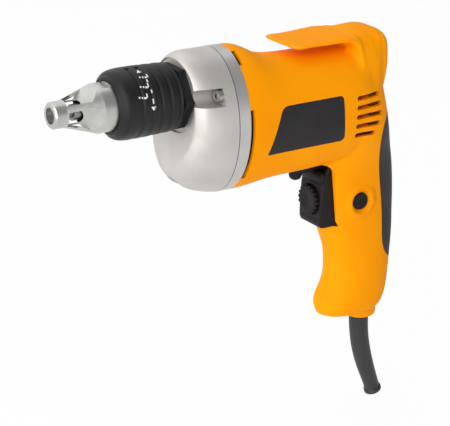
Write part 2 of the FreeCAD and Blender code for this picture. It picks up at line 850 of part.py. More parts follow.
# Driver bit: a hexagon insert bit with a cross point, held by a magnet in its holder
point_end = dim.bit_recess + dim.bit_point_length
neck_end = point_end + dim.bit_neck_length
cone = doc.addObject("Part::Cone", "bit_point")
bind(cone, Radius1=dim.bit_point_radius, Radius2=dim.bit_neck_radius, Height=dim.bit_point_length)
place(cone, dim.bit_recess, 0, 0, ALONG_X)
bit_solid = fuse(
    "bit_solid",
    cone,
    rod("bit_neck", dim.bit_neck_radius, dim.bit_neck_length, point_end),
    hexagon("bit_hex", dim.bit_hex_radius, dim.bit_length - dim.bit_point_length - dim.bit_neck_length,
            neck_end, 0),
)
flutes = []
for number in range(FLUTES):
    turn = Rotation(Vector(1, 0, 0), 45 + 360 / FLUTES * number)
    flute = doc.addObject("Part::Box", f"bit_flute_{number}")
    bind(flute, Length=dim.bit_point_length * 2, Width=dim.bit_flute_width, Height=dim.bit_hex_radius)
    corner = turn.multVec(point(0, -dim.bit_flute_width / 2, dim.bit_point_radius / 2))
    flute.Placement = Placement(corner + point(dim.bit_recess - dim.bit_point_length, 0, 0), turn)
    flute.setExpression(".Placement.Base.x", (dim.bit_recess - dim.bit_point_length).text)
    for axis, part in (("y", corner.y), ("z", corner.z)):
        share = part / float(dim.bit_flute_width)
        flute.setExpression(f".Placement.Base.{axis}", (dim.bit_flute_width * share).text)
    flutes.append(flute)
keep(cut("driver_bit", bit_solid, *flutes), "driver_bit")
bit_end = dim.bit_recess + dim.bit_length
keep(rod("bit_magnet", dim.bit_neck_radius, dim.magnet_length, bit_end), "bit_magnet")

holder_solid = fuse(
    "holder_solid",
    rod("holder_sleeve", dim.holder_radius, dim.holder_length, dim.holder_front),
    hexagon("holder_shank", dim.bit_hex_radius, dim.holder_shank_length, x_holder_end, 0),
)
hex_room = dim.bit_hex_radius + dim.running_clearance
keep(cut(
    "bit_holder",
    holder_solid,
    hexagon("holder_socket", hex_room, bit_end - dim.holder_front + dim.overrun,
            dim.holder_front - dim.overrun, 0),
    rod("holder_magnet_seat", dim.bit_neck_radius, dim.magnet_length + dim.running_clearance, bit_end),
), "bit_holder")

# Spindle: hexagon socket, clutch jaw with three dogs, and the journal that the gear runs on


def dog_ring(name, x, middle):
    wedges = [
        sector(f"{name}_{k}", dim.jaw_radius, dim.dog_height, dim.dog_angle,
               middle + 360 / CLUTCH_DOGS * k, x, 0)
        for k in range(CLUTCH_DOGS)
    ]
    hollow = rod(f"{name}_hollow", dim.dog_inner_radius, dim.dog_height + dim.overrun * 2, x - dim.overrun)
    return cut(name, fuse(f"{name}_wedges", *wedges), hollow)


x_bit_ring = x_spindle + dim.spindle_ring_offset
ring_radius = dim.spindle_radius - dim.bit_ring_wire_radius
spindle_solid = fuse(
    "spindle_solid",
    rod("spindle_front", dim.spindle_radius, x_jaw - x_spindle, x_spindle),
    rod("spindle_jaw", dim.jaw_radius, dim.jaw_thickness, x_jaw),
    rod("spindle_journal", dim.journal_radius, dim.journal_length, x_jaw_end),
    dog_ring("spindle_dogs", x_jaw_end, 0),
)
ring_groove = tube(
    "spindle_ring_groove",
    dim.spindle_radius + dim.overrun,
    ring_radius - dim.bit_ring_wire_radius - dim.running_clearance,
    (dim.bit_ring_wire_radius + dim.running_clearance) * 2,
    x_bit_ring - dim.bit_ring_wire_radius - dim.running_clearance,
)
shank_room = dim.holder_shank_length + dim.sliding_clearance
keep(cut(
    "spindle",
    spindle_solid,
    hexagon("spindle_socket", hex_room, shank_room + dim.overrun, x_spindle - dim.overrun, 0),
    ring_groove,
), "spindle")
bit_ring = keep(doc.addObject("Part::Torus", "bit_ring"), "bit_ring")
bind(bit_ring, Radius1=ring_radius, Radius2=dim.bit_ring_wire_radius)
place(bit_ring, x_bit_ring, 0, 0, ALONG_X)

# Gears: involute teeth on the pinion and on the drive gear, in mesh at rest


def gear_face(teeth, tooth_at):
    """Flat gear outline in the YZ plane, with a tooth centred on an angle from +Y towards +Z."""
    module = float(dim.gear_module)
    pitch = module * teeth / 2
    tip = pitch + module * ADDENDUM_SHARE
    root = pitch - module * DEDENDUM_SHARE
    base = pitch * math.cos(math.radians(PRESSURE_ANGLE))
    start = max(base, root)

    def roll(radius):
        pressure = math.acos(min(1, base / radius))
        return math.tan(pressure) - pressure

    half_tooth = math.pi / teeth / 2 - float(dim.tooth_thinning) / pitch / 2 + roll(pitch)

    def at(radius, angle):
        return Vector(radius * math.cos(angle), radius * math.sin(angle), 0)

    edges = []
    for number in range(teeth):
        middle = math.radians(tooth_at) + math.tau / teeth * number
        following = middle + math.tau / teeth
        flanks = []
        for side in (-1, 1):
            radii = [start + (tip - start) * share for share in (0, 0.25, 0.5, 0.75, 1)]
            flank = [at(radius, middle + side * (half_tooth - roll(radius))) for radius in radii]
            curve = Part.BSplineCurve()
            curve.interpolate(flank)
            flanks.append(flank)
            edges.append(curve.toShape())
            foot = at(root, middle + side * half_tooth)
            if (foot - flank[0]).Length > 1e-6:
                edges.append(Part.LineSegment(foot, flank[0]).toShape())
        edges.append(Part.Arc(flanks[0][-1], at(tip, middle), flanks[1][-1]).toShape())
        gap = (middle + following) / 2
        floor = Part.Arc(at(root, middle + half_tooth), at(root, gap), at(root, following - half_tooth))
        edges.append(floor.toShape())
    return Part.Face(Part.Wire(Part.__sortEdges__(edges)))


def toothed_wheel(name, teeth, tooth_at, width, x, z):
    wheel = doc.addObject("Part::Feature", name)
    wheel.Shape = gear_face(teeth, tooth_at).extrude(point(0, 0, width))
    place(wheel, x, 0, z, FACING_X)
    return wheel


gear_bore = dim.journal_radius + dim.running_clearance
spring_room = dim.clutch_spring_radius + dim.clutch_spring_wire + dim.sliding_clearance
keep(cut(
    "drive_gear",
    fuse(
        "drive_gear_solid",
        toothed_wheel("drive_gear_teeth", GEAR_TEETH, -90, dim.gear_width, x_gear, 0),
        dog_ring("drive_gear_dogs", x_dogs, 180 / CLUTCH_DOGS),
    ),
    rod("drive_gear_bore", gear_bore, dim.gear_width + dim.overrun * 2, x_gear - dim.overrun),
    rod("drive_gear_pocket", spring_room, dim.spring_pocket_depth + dim.overrun, x_gear - dim.overrun),
), "drive_gear")
keep(tube("thrust_washer", dim.washer_radius, gear_bore + dim.seat_clearance, dim.washer_thickness,
          x_washer),
     "thrust_washer")
x_spring = x_jaw_end + dim.seat_clearance
spring_length = x_gear + dim.spring_pocket_depth - dim.seat_clearance - x_spring
coil("clutch_spring", dim.clutch_spring_radius, dim.clutch_spring_wire, CLUTCH_SPRING_TURNS,
     (x_spring, 0, 0), spring_length, ALONG_X)

# Gear case: an oval casting with three screw channels, open at its rim


def oval(name, x, half_width, top, bottom):
    ring = doc.addObject("Part::Ellipse", name)
    bind(ring, MajorRadius=(top + bottom) / 2, MinorRadius=half_width)
    place(ring, x, 0, (top - bottom) / 2, OVAL_UPRIGHT)
    return ring


def case_form(name, inset, start):
    rings = []
    for number, (along, width, top, bottom) in enumerate(CASE_SECTION_SHARES):
        last = number == len(CASE_SECTION_SHARES) - 1
        x = start + (x_rim - start) * along + (dim.overrun if last and inset is not None else 0)
        trim = inset if inset is not None else as_size(0)
        rings.append(oval(
            f"{name}_{number}",
            x,
            dim.rim_half_width * width - trim,
            dim.rim_top * top - trim,
            dim.rim_bottom * bottom - trim,
        ))
    form = doc.addObject("Part::Loft", name)
    form.Sections = rings
    form.Solid = True
    form.Ruled = False
    return form


SCREW_PLACES = (
    (-dim.side_screw_offset, dim.side_screw_height),
    (dim.side_screw_offset, dim.side_screw_height),
    (as_size(0), -dim.bottom_screw_depth),
)
CHANNEL_WAYS = ((-1, 0), (1, 0), (0, -1))
x_screw_seat = x_rim - dim.screw_land


def screw_channel(name, number, half_width, end):
    """Open slot from the case's front to the screw's seat, with a round floor."""
    y, z = SCREW_PLACES[number]
    way_y, way_z = CHANNEL_WAYS[number]
    length = end - x_case + dim.overrun
    floor = rod(f"{name}_floor", half_width, length, x_case - dim.overrun, y, z)
    reach = dim.overrun * 3
    if way_y:
        low = y if way_y > 0 else y - reach
        slot = block(f"{name}_slot", length, reach, half_width * 2, x_case - dim.overrun, low,
                     z - half_width)
    else:
        slot = block(f"{name}_slot", length, half_width * 2, reach, x_case - dim.overrun, y - half_width,
                     z - reach)
    return fuse(name, floor, slot)


case_outside = case_form("case_outside", None, x_case)
case_hollow = case_form("case_hollow", dim.case_wall, x_case + dim.case_wall)
lands = fuse("case_lands", *[
    screw_channel(f"case_land_{k}", k, dim.channel_half_width + dim.channel_wall, x_rim) for k in range(3)
])
case_solid = fuse(
    "case_solid",
    cut("case_shell", case_outside, case_hollow),
    common("case_land_fill", case_outside, lands),
)
gear_room = dim.gear_module * (GEAR_TEETH / 2 + ADDENDUM_SHARE) + dim.sliding_clearance * 2
keep(cut(
    "gear_case",
    case_solid,
    rod("case_hex_recess", dim.hex_recess_radius, dim.hex_recess + dim.overrun, x_case - dim.overrun),
    rod("case_gear_room", gear_room, dim.gear_width + dim.sliding_clearance * 4,
        x_gear - dim.sliding_clearance * 2),
    rod("case_bore", dim.tube_spigot_radius + dim.running_clearance, dim.case_length, x_case),
    *[screw_channel(f"case_channel_{k}", k, dim.channel_half_width, x_screw_seat) for k in range(3)],
    *[
        rod(f"case_screw_hole_{k}", dim.case_screw_radius + dim.seat_clearance, dim.case_length,
            x_screw_seat - dim.overrun, y, z)
        for k, (y, z) in enumerate(SCREW_PLACES)
    ],
), "gear_case")


def oval_slab(name, trim, x, thickness):
    slab = doc.addObject("Part::Extrusion", name)
    slab.Base = oval(f"{name}_oval", x, dim.rim_half_width - trim, dim.rim_top - trim,
                     dim.rim_bottom - trim)
    slab.DirMode = "Custom"
    slab.Dir = Vector(1, 0, 0)
    slab.Solid = True
    bind(slab, LengthFwd=thickness)
    return slab


def screw_holes(name, x, length):
    return [
        rod(f"{name}_{k}", dim.case_screw_radius + dim.seat_clearance, length, x, y, z)
        for k, (y, z) in enumerate(SCREW_PLACES)
    ]


keep(cut(
    "case_gasket",
    oval_slab("gasket_outside", dim.gasket_thickness, x_rim, dim.gasket_thickness),
    cut(
        "gasket_opening",
        oval_slab("gasket_inside", dim.gasket_thickness + dim.gasket_width, x_rim, dim.gasket_thickness),
        common(
            "gasket_lands",
            oval_slab("gasket_land_limit", dim.gasket_thickness, x_rim, dim.gasket_thickness),
            fuse("gasket_land_rounds", *[
                rod(f"gasket_land_{k}", dim.channel_half_width + dim.channel_wall, dim.gasket_thickness,
                    x_rim, y, z)
                for k, (y, z) in enumerate(SCREW_PLACES)
            ]),
        ),
    ),
    *screw_holes("gasket_screw_hole", x_rim - dim.overrun, dim.overrun * 3),
), "case_gasket")

# Gear plate: carries the rear bush and the front motor bearing
rear_bush_radius = dim.journal_radius + dim.rear_bush_wall
x_front_bearing = x_body - dim.front_bearing_length
keep(cut(
    "gear_plate",
    fuse(
        "gear_plate_solid",
        oval_slab("gear_plate_slab", as_size(0), x_plate, dim.plate_thickness),
        rod("gear_plate_boss", rear_bush_radius + dim.bush_boss_wall, x_plate - x_washer_end, x_washer_end),
    ),
    rod("plate_bush_seat", rear_bush_radius, dim.rear_bush_length + dim.overrun,
        x_washer_end - dim.overrun),
    rod("plate_bearing_seat", dim.front_bearing_radius, dim.front_bearing_length + dim.overrun,
        x_front_bearing, 0, z_motor),
    rod("plate_pinion_hole", dim.shaft_pilot_radius, dim.plate_thickness + dim.overrun,
        x_plate - dim.overrun, 0, z_motor),
    *screw_holes("plate_screw_hole", x_plate - dim.overrun, dim.plate_thickness + dim.overrun * 2),
), "gear_plate")
keep(tube("rear_bush", rear_bush_radius, dim.journal_radius + dim.running_clearance,
          dim.rear_bush_length, x_washer_end),
     "rear_bush")
group("case_screws", *[
    screw(f"case_screw_{k}", dim.case_screw_radius, dim.case_screw_length, dim.case_screw_head_radius,
          dim.case_screw_head_height, x_screw_seat - dim.case_screw_head_height, y, z, ALONG_X, (1, 0, 0))
    for k, (y, z) in enumerate(SCREW_PLACES)
])

# Motor: armature on a shaft with the pinion cut on its end, in two bearings inside a wound field
x_pinion = x_gear - dim.pinion_overhang
pinion_length = x_plate - x_pinion
keep(fuse(
    "armature_shaft",
    toothed_wheel("armature_pinion", PINION_TEETH, 90 + 180 / PINION_TEETH, pinion_length, x_pinion,
                  z_motor),
    rod("armature_journal", dim.shaft_radius, dim.shaft_length - pinion_length, x_plate, 0, z_motor),
), "armature_shaft")
shaft_room = dim.shaft_radius + dim.running_clearance
bearing_fit = dim.running_clearance / 2
keep(tube("front_bearing", dim.front_bearing_radius - bearing_fit, shaft_room, dim.front_bearing_length,
          x_front_bearing, z_motor), "front_bearing")
x_rear_bearing = x_body + dim.rear_bearing_place
keep(tube("rear_bearing", dim.rear_bearing_radius, shaft_room, dim.rear_bearing_length, x_rear_bearing,
          z_motor),
     "rear_bearing")


def on_motor_axis(body):
    body.setExpression(".Placement.Base.z", z_motor.text)


fan, fan_profile = turned("fan", [
    (x_body + dim.fan_place, dim.shaft_radius),
    (x_body + dim.fan_place, dim.fan_hub_radius),
    (x_body + dim.fan_place + dim.fan_blade_height, dim.fan_hub_radius),
    (x_body + dim.fan_place + dim.fan_blade_height, dim.fan_radius),
    (x_body + dim.fan_place + dim.fan_blade_height + dim.fan_disc_thickness, dim.fan_radius),
    (x_body + dim.fan_place + dim.fan_blade_height + dim.fan_disc_thickness, dim.shaft_radius),
])
blade_half = dim.fan_blade_thickness / 2
blade = outline(fan, "YZ_Plane", [
    (-blade_half, dim.fan_hub_radius - dim.fan_blade_thickness),
    (blade_half, dim.fan_hub_radius - dim.fan_blade_thickness),
    (blade_half, dim.fan_radius - dim.fan_blade_thickness),
    (-blade_half, dim.fan_radius - dim.fan_blade_thickness),
], offset=x_body + dim.fan_place)
around_x(fan, extrude(fan, "Pad", blade, dim.fan_blade_height + blade_half), FAN_BLADES, fan_profile)
on_motor_axis(fan)


def slotted_drum(label, start, length, radius, slot_width, slot_depth, slots):
    drum, profile = turned(label, [
        (start, dim.shaft_radius),
        (start, radius),
        (start + length, radius),
        (start + length, dim.shaft_radius),
    ])
    slot = outline(drum, "YZ_Plane", [
        (-slot_width / 2, radius - slot_depth),
        (slot_width / 2, radius - slot_depth),
        (slot_width / 2, radius + dim.overrun),
        (-slot_width / 2, radius + dim.overrun),
    ], offset=start - dim.overrun)
    cutter = extrude(drum, "Pocket", slot, length + dim.overrun * 2, backwards=True)
    around_x(drum, cutter, slots, profile)
    on_motor_axis(drum)


slotted_drum("armature_core", x_core, dim.core_length, dim.core_radius, dim.core_slot_width,
             dim.core_slot_depth, CORE_SLOTS)
slotted_drum("commutator", x_commutator, dim.commutator_length, dim.commutator_radius,
             dim.commutator_slot_width, dim.commutator_slot_depth, COMMUTATOR_BARS)
group(
    "armature_windings",
    tube("winding_front", dim.winding_radius, dim.shaft_radius, dim.winding_length,
         x_core - dim.winding_length, z_motor),
    tube("winding_rear", dim.winding_radius, dim.shaft_radius, dim.winding_length, x_core_end, z_motor),
)

yoke_bore = dim.field_radius - dim.field_yoke
pole_radius = dim.core_radius + dim.field_air_gap
POLE_ANGLE = as_size(104)
COIL_ANGLE = as_size(168)
poles = [sector(f"field_pole_{k}", yoke_bore + dim.field_yoke / 2, dim.core_length, POLE_ANGLE, k * 180,
                x_core, z_motor)
         for k in range(2)]
field_ring = tube("field_yoke", dim.field_radius, yoke_bore, dim.core_length, x_core, z_motor)
field_bore = rod("field_bore", pole_radius, dim.core_length + dim.overrun * 2, x_core - dim.overrun, 0,
                 z_motor)
keep(cut("field_core", fuse("field_solid", field_ring, *poles), field_bore), "field_core")
coils = []
for k in range(2):
    coil_outside = sector(f"coil_outside_{k}", yoke_bore - dim.coil_clearance,
                          dim.core_length + dim.coil_overhang * 2,
                          COIL_ANGLE, k * 180, x_core - dim.coil_overhang, z_motor)
    coil_window = sector(f"coil_window_{k}", dim.field_radius, dim.core_length + dim.coil_clearance * 2,
                         POLE_ANGLE + 4, k * 180, x_core - dim.coil_clearance, z_motor)
    coil_bore = rod(f"coil_bore_{k}", pole_radius + dim.coil_clearance, dim.core_length + dim.overrun * 4,
                    x_core - dim.overrun * 2, 0, z_motor)
    coils.append(cut(f"field_coil_{k}", coil_outside, coil_window, coil_bore))
group("field_coils", *coils)

# Brushes in their holders, one each side of the commutator
x_brush = x_commutator + (dim.commutator_length - dim.brush_width) / 2
brush_start = dim.commutator_radius + dim.brush_gap
holder_start = brush_start + dim.brush_length / 5
holders = []
brushes = []
for side, name in ((-1, "left"), (1, "right")):
    low = brush_start if side > 0 else -brush_start - dim.brush_length
    brushes.append(block(f"{name}_brush", dim.brush_width, dim.brush_length, dim.brush_height,
                         x_brush, low, z_motor - dim.brush_height / 2))
    wall = dim.brush_holder_wall
    low = holder_start if side > 0 else -holder_start - dim.brush_holder_length
    case = block(f"{name}_holder_case", dim.brush_width + wall * 2, dim.brush_holder_length,
                 dim.brush_height + wall * 2,
                 x_brush - wall, low, z_motor - dim.brush_height / 2 - wall)
    room = dim.seat_clearance
    bore = block(f"{name}_holder_bore", dim.brush_width + room * 2,
                 dim.brush_holder_length + dim.overrun * 2,
                 dim.brush_height + room * 2, x_brush - room, low - dim.overrun,
                 z_motor - dim.brush_height / 2 - room)
    holders.append(cut(f"{name}_holder", case, bore))
group("carbon_brushes", *brushes)
group("brush_holders", *holders)

# Switch with its plunger hole, below the reverse lever
trigger_rear = dim.trigger_front + dim.trigger_depth
x_switch = trigger_rear + dim.trigger_travel + dim.sliding_clearance * 2
lever_top = dim.cutout_top + dim.sliding_clearance * 2
lever_bottom = lever_top + dim.lever_thickness
switch_top = lever_bottom + dim.sliding_clearance
z_dial = -dim.trigger_top - dim.dial_drop
x_lever_pin = dim.lever_front + dim.lever_length
keep(cut(
    "switch_body",
    fuse(
        "switch_solid",
        block("switch_case", dim.switch_length, dim.switch_half_width * 2, dim.switch_height,
              x_switch, -dim.switch_half_width, -switch_top - dim.switch_height),
        rod("switch_lever_pin", dim.lever_pin_radius, dim.lever_thickness + dim.overrun, x_lever_pin, 0,
            -switch_top - dim.overrun, Rotation()),
    ),
    rod("switch_plunger_hole", dim.plunger_radius + dim.sliding_clearance, dim.plunger_length + dim.overrun,
        x_switch - dim.overrun, 0, z_dial),
), "switch_body")

# Trigger: a block with a curved front, a channel for the lever, a seat for the dial and a plunger
trigger = new_body("trigger")
trigger_side = outline(trigger, "XZ_Plane", [
    (trigger_rear, -dim.trigger_top),
    *[(dim.trigger_front + dim.trigger_depth * back, -dim.trigger_top - dim.trigger_height * down)
      for down, back in TRIGGER_FRONT_SHARES],
    (trigger_rear, -dim.trigger_top - dim.trigger_height),
])
trigger_pad = extrude(trigger, "Pad", trigger_side, dim.trigger_half_width * 2, both_ways=True)
doc.recompute()
front_edges = []
for number, edge in enumerate(trigger_pad.Shape.Edges, start=1):
    box = edge.BoundBox
    if box.YLength < 1e-6 and box.XMax < float(trigger_rear) - 1e-6:
        front_edges.append(f"Edge{number}")
trigger_fillet = trigger.newObject("PartDesign::Fillet", "trigger_round")
trigger_fillet.Base = (trigger_pad, front_edges)
bind(trigger_fillet, Radius=dim.trigger_round)
lever_channel = outline(trigger, "XZ_Plane", [
    (dim.trigger_front - dim.overrun, -lever_bottom - dim.sliding_clearance * 2),
    (trigger_rear + dim.overrun, -lever_bottom - dim.sliding_clearance * 2),
    (trigger_rear + dim.overrun, -dim.trigger_top + dim.overrun),
    (dim.trigger_front - dim.overrun, -dim.trigger_top + dim.overrun),
])
extrude(trigger, "Pocket", lever_channel, dim.lever_channel_half_width * 2, both_ways=True)
dial_room = dim.dial_radius + dim.sliding_clearance
dial_seat = dim.trigger_front + dim.dial_thickness - dim.dial_proud
extrude(trigger, "Pocket", circle(trigger, "YZ_Plane", dial_room, 0, z_dial,
                                  offset=dial_seat + dim.running_clearance),
        dim.trigger_depth)
pin_length = dim.dial_thickness - dim.dial_proud / 2
extrude(trigger, "Pad", circle(trigger, "YZ_Plane", dim.dial_pin_radius, 0, z_dial,
                               offset=dial_seat + dim.seat_clearance),
        pin_length, backwards=True)
extrude(trigger, "Pad", circle(trigger, "YZ_Plane", dim.plunger_radius, 0, z_dial, offset=trigger_rear),
        dim.plunger_length)

coil("trigger_spring", dim.trigger_spring_radius, dim.trigger_spring_wire, TRIGGER_SPRING_TURNS,
     (trigger_rear + dim.seat_clearance, 0, z_dial),
     x_switch - trigger_rear - dim.seat_clearance * 2, ALONG_X)

# Speed dial: a knurled wheel on the trigger's front
x_dial = dim.trigger_front - dim.dial_proud
dial, dial_profile = turned("speed_dial", [
    (x_dial, 0),
    (x_dial, dim.dial_radius - dim.dial_notch_radius),
    (x_dial + dim.dial_notch_radius, dim.dial_radius),
    (dial_seat, dim.dial_radius),
    (dial_seat, dim.dial_pin_radius + dim.running_clearance),
    (dial_seat - pin_length, dim.dial_pin_radius + dim.running_clearance),
    (dial_seat - pin_length, 0),
])
notch = circle(dial, "YZ_Plane", dim.dial_notch_radius, 0, dim.dial_radius, offset=x_dial - dim.overrun)
around_x(dial, extrude(dial, "Pocket", notch, dim.dial_thickness + dim.overrun * 2, backwards=True),
         DIAL_NOTCHES, dial_profile)
dial.setExpression(".Placement.Base.z", z_dial.text)

# Reverse lever: a flat lever that swings on the switch, with its tab ahead of the trigger
lever_arm = fuse(
    "lever_solid",
    block("lever_arm", dim.lever_length, dim.lever_half_width * 2, dim.lever_thickness,
          dim.lever_front + dim.lever_half_width, -dim.lever_half_width, -lever_bottom),
    rod("lever_tip", dim.lever_half_width, dim.lever_thickness + dim.lever_tab_drop,
        dim.lever_front + dim.lever_half_width, 0, -lever_bottom - dim.lever_tab_drop, Rotation()),
    rod("lever_hub", dim.lever_hub_radius, dim.lever_thickness, x_lever_pin, 0, -lever_bottom, Rotation()),
)
keep(cut(
    "reverse_lever",
    lever_arm,
    rod("lever_pin_hole", dim.lever_pin_radius + dim.running_clearance,
        dim.lever_thickness + dim.overrun * 2,
        x_lever_pin, 0, -lever_bottom - dim.overrun, Rotation()),
), "reverse_lever")


# Housing: two clamshell halves of a barrel, a handle and a belt hook


def superoval(count, width, top, bottom, squareness):
    """Points of a rounded oval as (across, up) pairs, starting at its side."""
    points = []
    for number in range(count):
        angle = math.tau / count * number
        across = math.copysign(abs(math.cos(angle)) ** (2 / squareness), math.cos(angle))
        up = math.copysign(abs(math.sin(angle)) ** (2 / squareness), math.sin(angle))
        points.append((width * across, (top if up > 0 else bottom) * up))
    return points


def smooth_loop(points):
    curve = Part.BSplineCurve()
    curve.interpolate(points, PeriodicFlag=True)
    return Part.Wire(curve.toShape())


def barrel(inset):
    """Solid of the housing's barrel, smaller all round by the inset."""
    loops = []
    trim = float(inset)
    rows = list(BODY_SECTION_SHARES)
    extra = (
        dim.rim_half_width - dim.body_half_width,
        dim.rim_top + motor_drop - dim.body_top,
        dim.rim_bottom - motor_drop - dim.body_bottom,
    )
    for number, (along, flare, width, top, bottom, squareness) in enumerate(rows):
        half_width = float(dim.body_half_width * width + extra[0] * flare) - trim
        upper = float(dim.body_top * top + extra[1] * flare) - trim
        lower = float(dim.body_bottom * bottom + extra[2] * flare) - trim
        x = float(x_body + dim.body_length * along)
        if number == len(rows) - 1:
            x -= trim
        loop = [point(x, across, float(z_motor) + up)
                for across, up in superoval(SECTION_POINTS, half_width, upper, lower, squareness)]
        loops.append(smooth_loop(loop))
    return Part.makeLoft(loops, True, False)


def handle(inset):
    """Solid of the handle, smaller all round by the inset."""
    loops = []
    trim = float(inset)
    rows = list(HANDLE_SECTION_SHARES)
    for number, (down, front, rear, width, squareness) in enumerate(rows):
        x_front = float(dim.handle_place - dim.handle_depth * front) + trim
        x_rear = float(dim.handle_place + dim.handle_depth * rear) - trim
        half_width = float(dim.handle_half_width * width) - trim
        z = float(z_motor - dim.handle_length * down)
        if number == len(rows) - 1:
            z += trim
        middle = (x_front + x_rear) / 2
        half_depth = (x_rear - x_front) / 2
        loop = [point(middle + across, up, z)
                for across, up in superoval(SECTION_POINTS, half_depth, half_width, half_width, squareness)]
        loops.append(smooth_loop(loop))
    return Part.makeLoft(loops, True, False)


def belt_hook():
    """Solid of the hook, whose root spreads downwards over the back of the barrel."""
    loops = []
    for along, top, under, top_width, under_width in HOOK_SECTION_SHARES:
        x = float(dim.hook_tip + dim.hook_length * along)
        upper = float(dim.hook_height * top)
        lower = float(dim.hook_height * under)
        half = (upper - lower) / 2
        loop = []
        for across, up in superoval(SECTION_POINTS, 1, half, half, HOOK_SQUARENESS):
            down = (1 - up / half) / 2
            width = float(dim.hook_half_width * (top_width + (under_width - top_width) * down))
            loop.append(point(x, across * width, (upper + lower) / 2 + up))
        loops.append(smooth_loop(loop))
    return Part.makeLoft(loops, True, False)


def skin(inset):
    return barrel(inset).fuse(handle(inset))


def rod_shape(radius, length, at, way):
    return Part.makeCylinder(float(radius), float(length), at, way)


def box_shape(low, high):
    span = high - low
    return Part.makeBox(span.x, span.y, span.z, low)


far = dim.body_length
way_x, way_y, way_z = Vector(1, 0, 0), Vector(0, 1, 0), Vector(0, 0, 1)
outside = skin(0)
inside = skin(dim.housing_wall)
mouth = box_shape(point(x_body - dim.overrun, -far, z_motor - far), point(x_body, far, z_motor + far))

screw_spots = [
    (float(x_body + dim.body_length * along),
     float(z_motor + (dim.body_top if up > 0 else dim.body_bottom) * up))
    for along, up in BODY_SCREW_SHARES
]
screw_spots += [
    (float(dim.handle_place + dim.handle_depth * along), float(z_motor - dim.handle_length * down))
    for along, down in HANDLE_SCREW_SHARES
]

# Posts for the housing screws and the case screws, and ribs for field, bearing and switch
posts = [rod_shape(dim.post_radius, far * 2, point(x, -far, z), way_y) for x, z in screw_spots]
post_room = dim.screw_land + dim.plate_thickness + dim.gasket_thickness
post_length = dim.case_screw_length - post_room + dim.overrun / 2
for (y, z), (side_y, side_z) in zip(SCREW_PLACES, CHANNEL_WAYS):
    posts.append(rod_shape(dim.channel_half_width, post_length, point(x_body, y, z), way_x))
    half_web = dim.rib_thickness / 2
    reach = [dim.overrun * 3 * abs(way) for way in (side_y, side_z)]
    low = point(x_body, y - half_web - (reach[0] if side_y < 0 else 0),
                z - half_web - (reach[1] if side_z < 0 else 0))
    high = point(x_body + post_length, y + half_web + (reach[0] if side_y > 0 else 0), z + half_web)
    posts.append(box_shape(low, high))


def cross_rib(x, thickness, half_height, hole):
    slab = box_shape(
        point(x, -far, z_motor - half_height),
        point(x + thickness, far, z_motor + half_height),
    )
    return slab.cut(rod_shape(hole, far, point(x - dim.overrun, 0, z_motor), way_x))


field_seat = dim.field_radius + dim.seat_clearance
ribs = [
    cross_rib(x_core + dim.rib_thickness, dim.rib_thickness, far, field_seat),
    cross_rib(x_core_end - dim.rib_thickness * 2, dim.rib_thickness, far, field_seat),
    cross_rib(x_rear_bearing, dim.rear_bearing_length, dim.rear_bearing_radius + dim.rib_margin,
              dim.rear_bearing_radius + dim.running_clearance),
]
switch_room = dim.switch_half_width + dim.seat_clearance
x_switch_rib = x_switch + dim.switch_length - dim.rib_margin - dim.rib_thickness
switch_rib = box_shape(
    point(x_switch_rib, -far, -switch_top - dim.switch_height + dim.rib_margin),
    point(x_switch_rib + dim.rib_thickness, far, -switch_top - dim.rib_margin),
).cut(box_shape(
    point(x_switch_rib - dim.overrun, -switch_room, -switch_top - far),
    point(x_switch_rib + far, switch_room, -switch_top + far),
))
brush_seats = []
seat_out = dim.brush_holder_wall + dim.rib_thickness
seat_in = dim.brush_holder_wall + dim.seat_clearance
for side in (-1, 1):
    seat_start = holder_start + dim.brush_holder_length - dim.brush_seat_depth
    for grow, start in ((seat_out, seat_start), (seat_in, seat_start - dim.overrun)):
        ends = sorted((float(start) * side, float(far) * side))
        brush_seats.append(box_shape(
            point(x_brush - grow, ends[0], z_motor - dim.brush_height / 2 - grow),
            point(x_brush + dim.brush_width + grow, ends[1], z_motor + dim.brush_height / 2 + grow),
        ))
seat_blocks = brush_seats[0].fuse(brush_seats[2])
seat_rooms = brush_seats[1].fuse(brush_seats[3]).common(inside)
fittings = ribs[0].multiFuse(ribs[1:] + [switch_rib, seat_blocks] + posts).common(outside).cut(seat_rooms)

# Cord guard: a tapered rubber tube, bent back, held by a flange in the foot of the handle
guard_top = point(dim.guard_place, 0, -dim.guard_start + dim.guard_flange_length)
guard_bend = math.radians(SIZES["guard_bend_angle"])


def on_guard_bend(angle):
    """Point of the guard's middle line, that far round its bend."""
    return bend_start + Vector(guard_turn * (1 - math.cos(angle)), 0, -guard_turn * math.sin(angle))


guard_turn = float(dim.guard_bend_radius)
bend_start = point(dim.guard_place, 0, -dim.guard_start - dim.guard_lead)
bend_middle = on_guard_bend(guard_bend / 2)
bend_end = on_guard_bend(guard_bend)
tail_way = Vector(math.sin(guard_bend), 0, -math.cos(guard_bend))
guard_end = bend_end + tail_way * float(dim.guard_tail)
middle_way = Vector(math.sin(guard_bend / 2), 0, -math.cos(guard_bend / 2))
stations = [
    (guard_top, -way_z, 0.0),
    (bend_start, -way_z, 0.15),
    (bend_middle, middle_way, 0.4),
    (bend_end, tail_way, 0.65),
    (guard_end, tail_way, 1.0),
]
guard_rings = []
for at, way, taper_share in stations:
    radius = float(dim.guard_radius + (dim.guard_end_radius - dim.guard_radius) * taper_share)
    guard_rings.append(Part.Wire(Part.makeCircle(radius, at, way)))
guard_outside = Part.makeLoft(guard_rings, True, False)
guard_rim = rod_shape(dim.guard_rim_radius, dim.guard_rim_length,
                      guard_end - tail_way * float(dim.guard_rim_length), tail_way)
guard_flange = rod_shape(dim.guard_flange_radius, dim.guard_flange_length, guard_top, -way_z)
bore_run = Part.makeCylinder(float(dim.guard_bore_radius), float(dim.guard_tail + dim.overrun), bend_end,
                             tail_way)
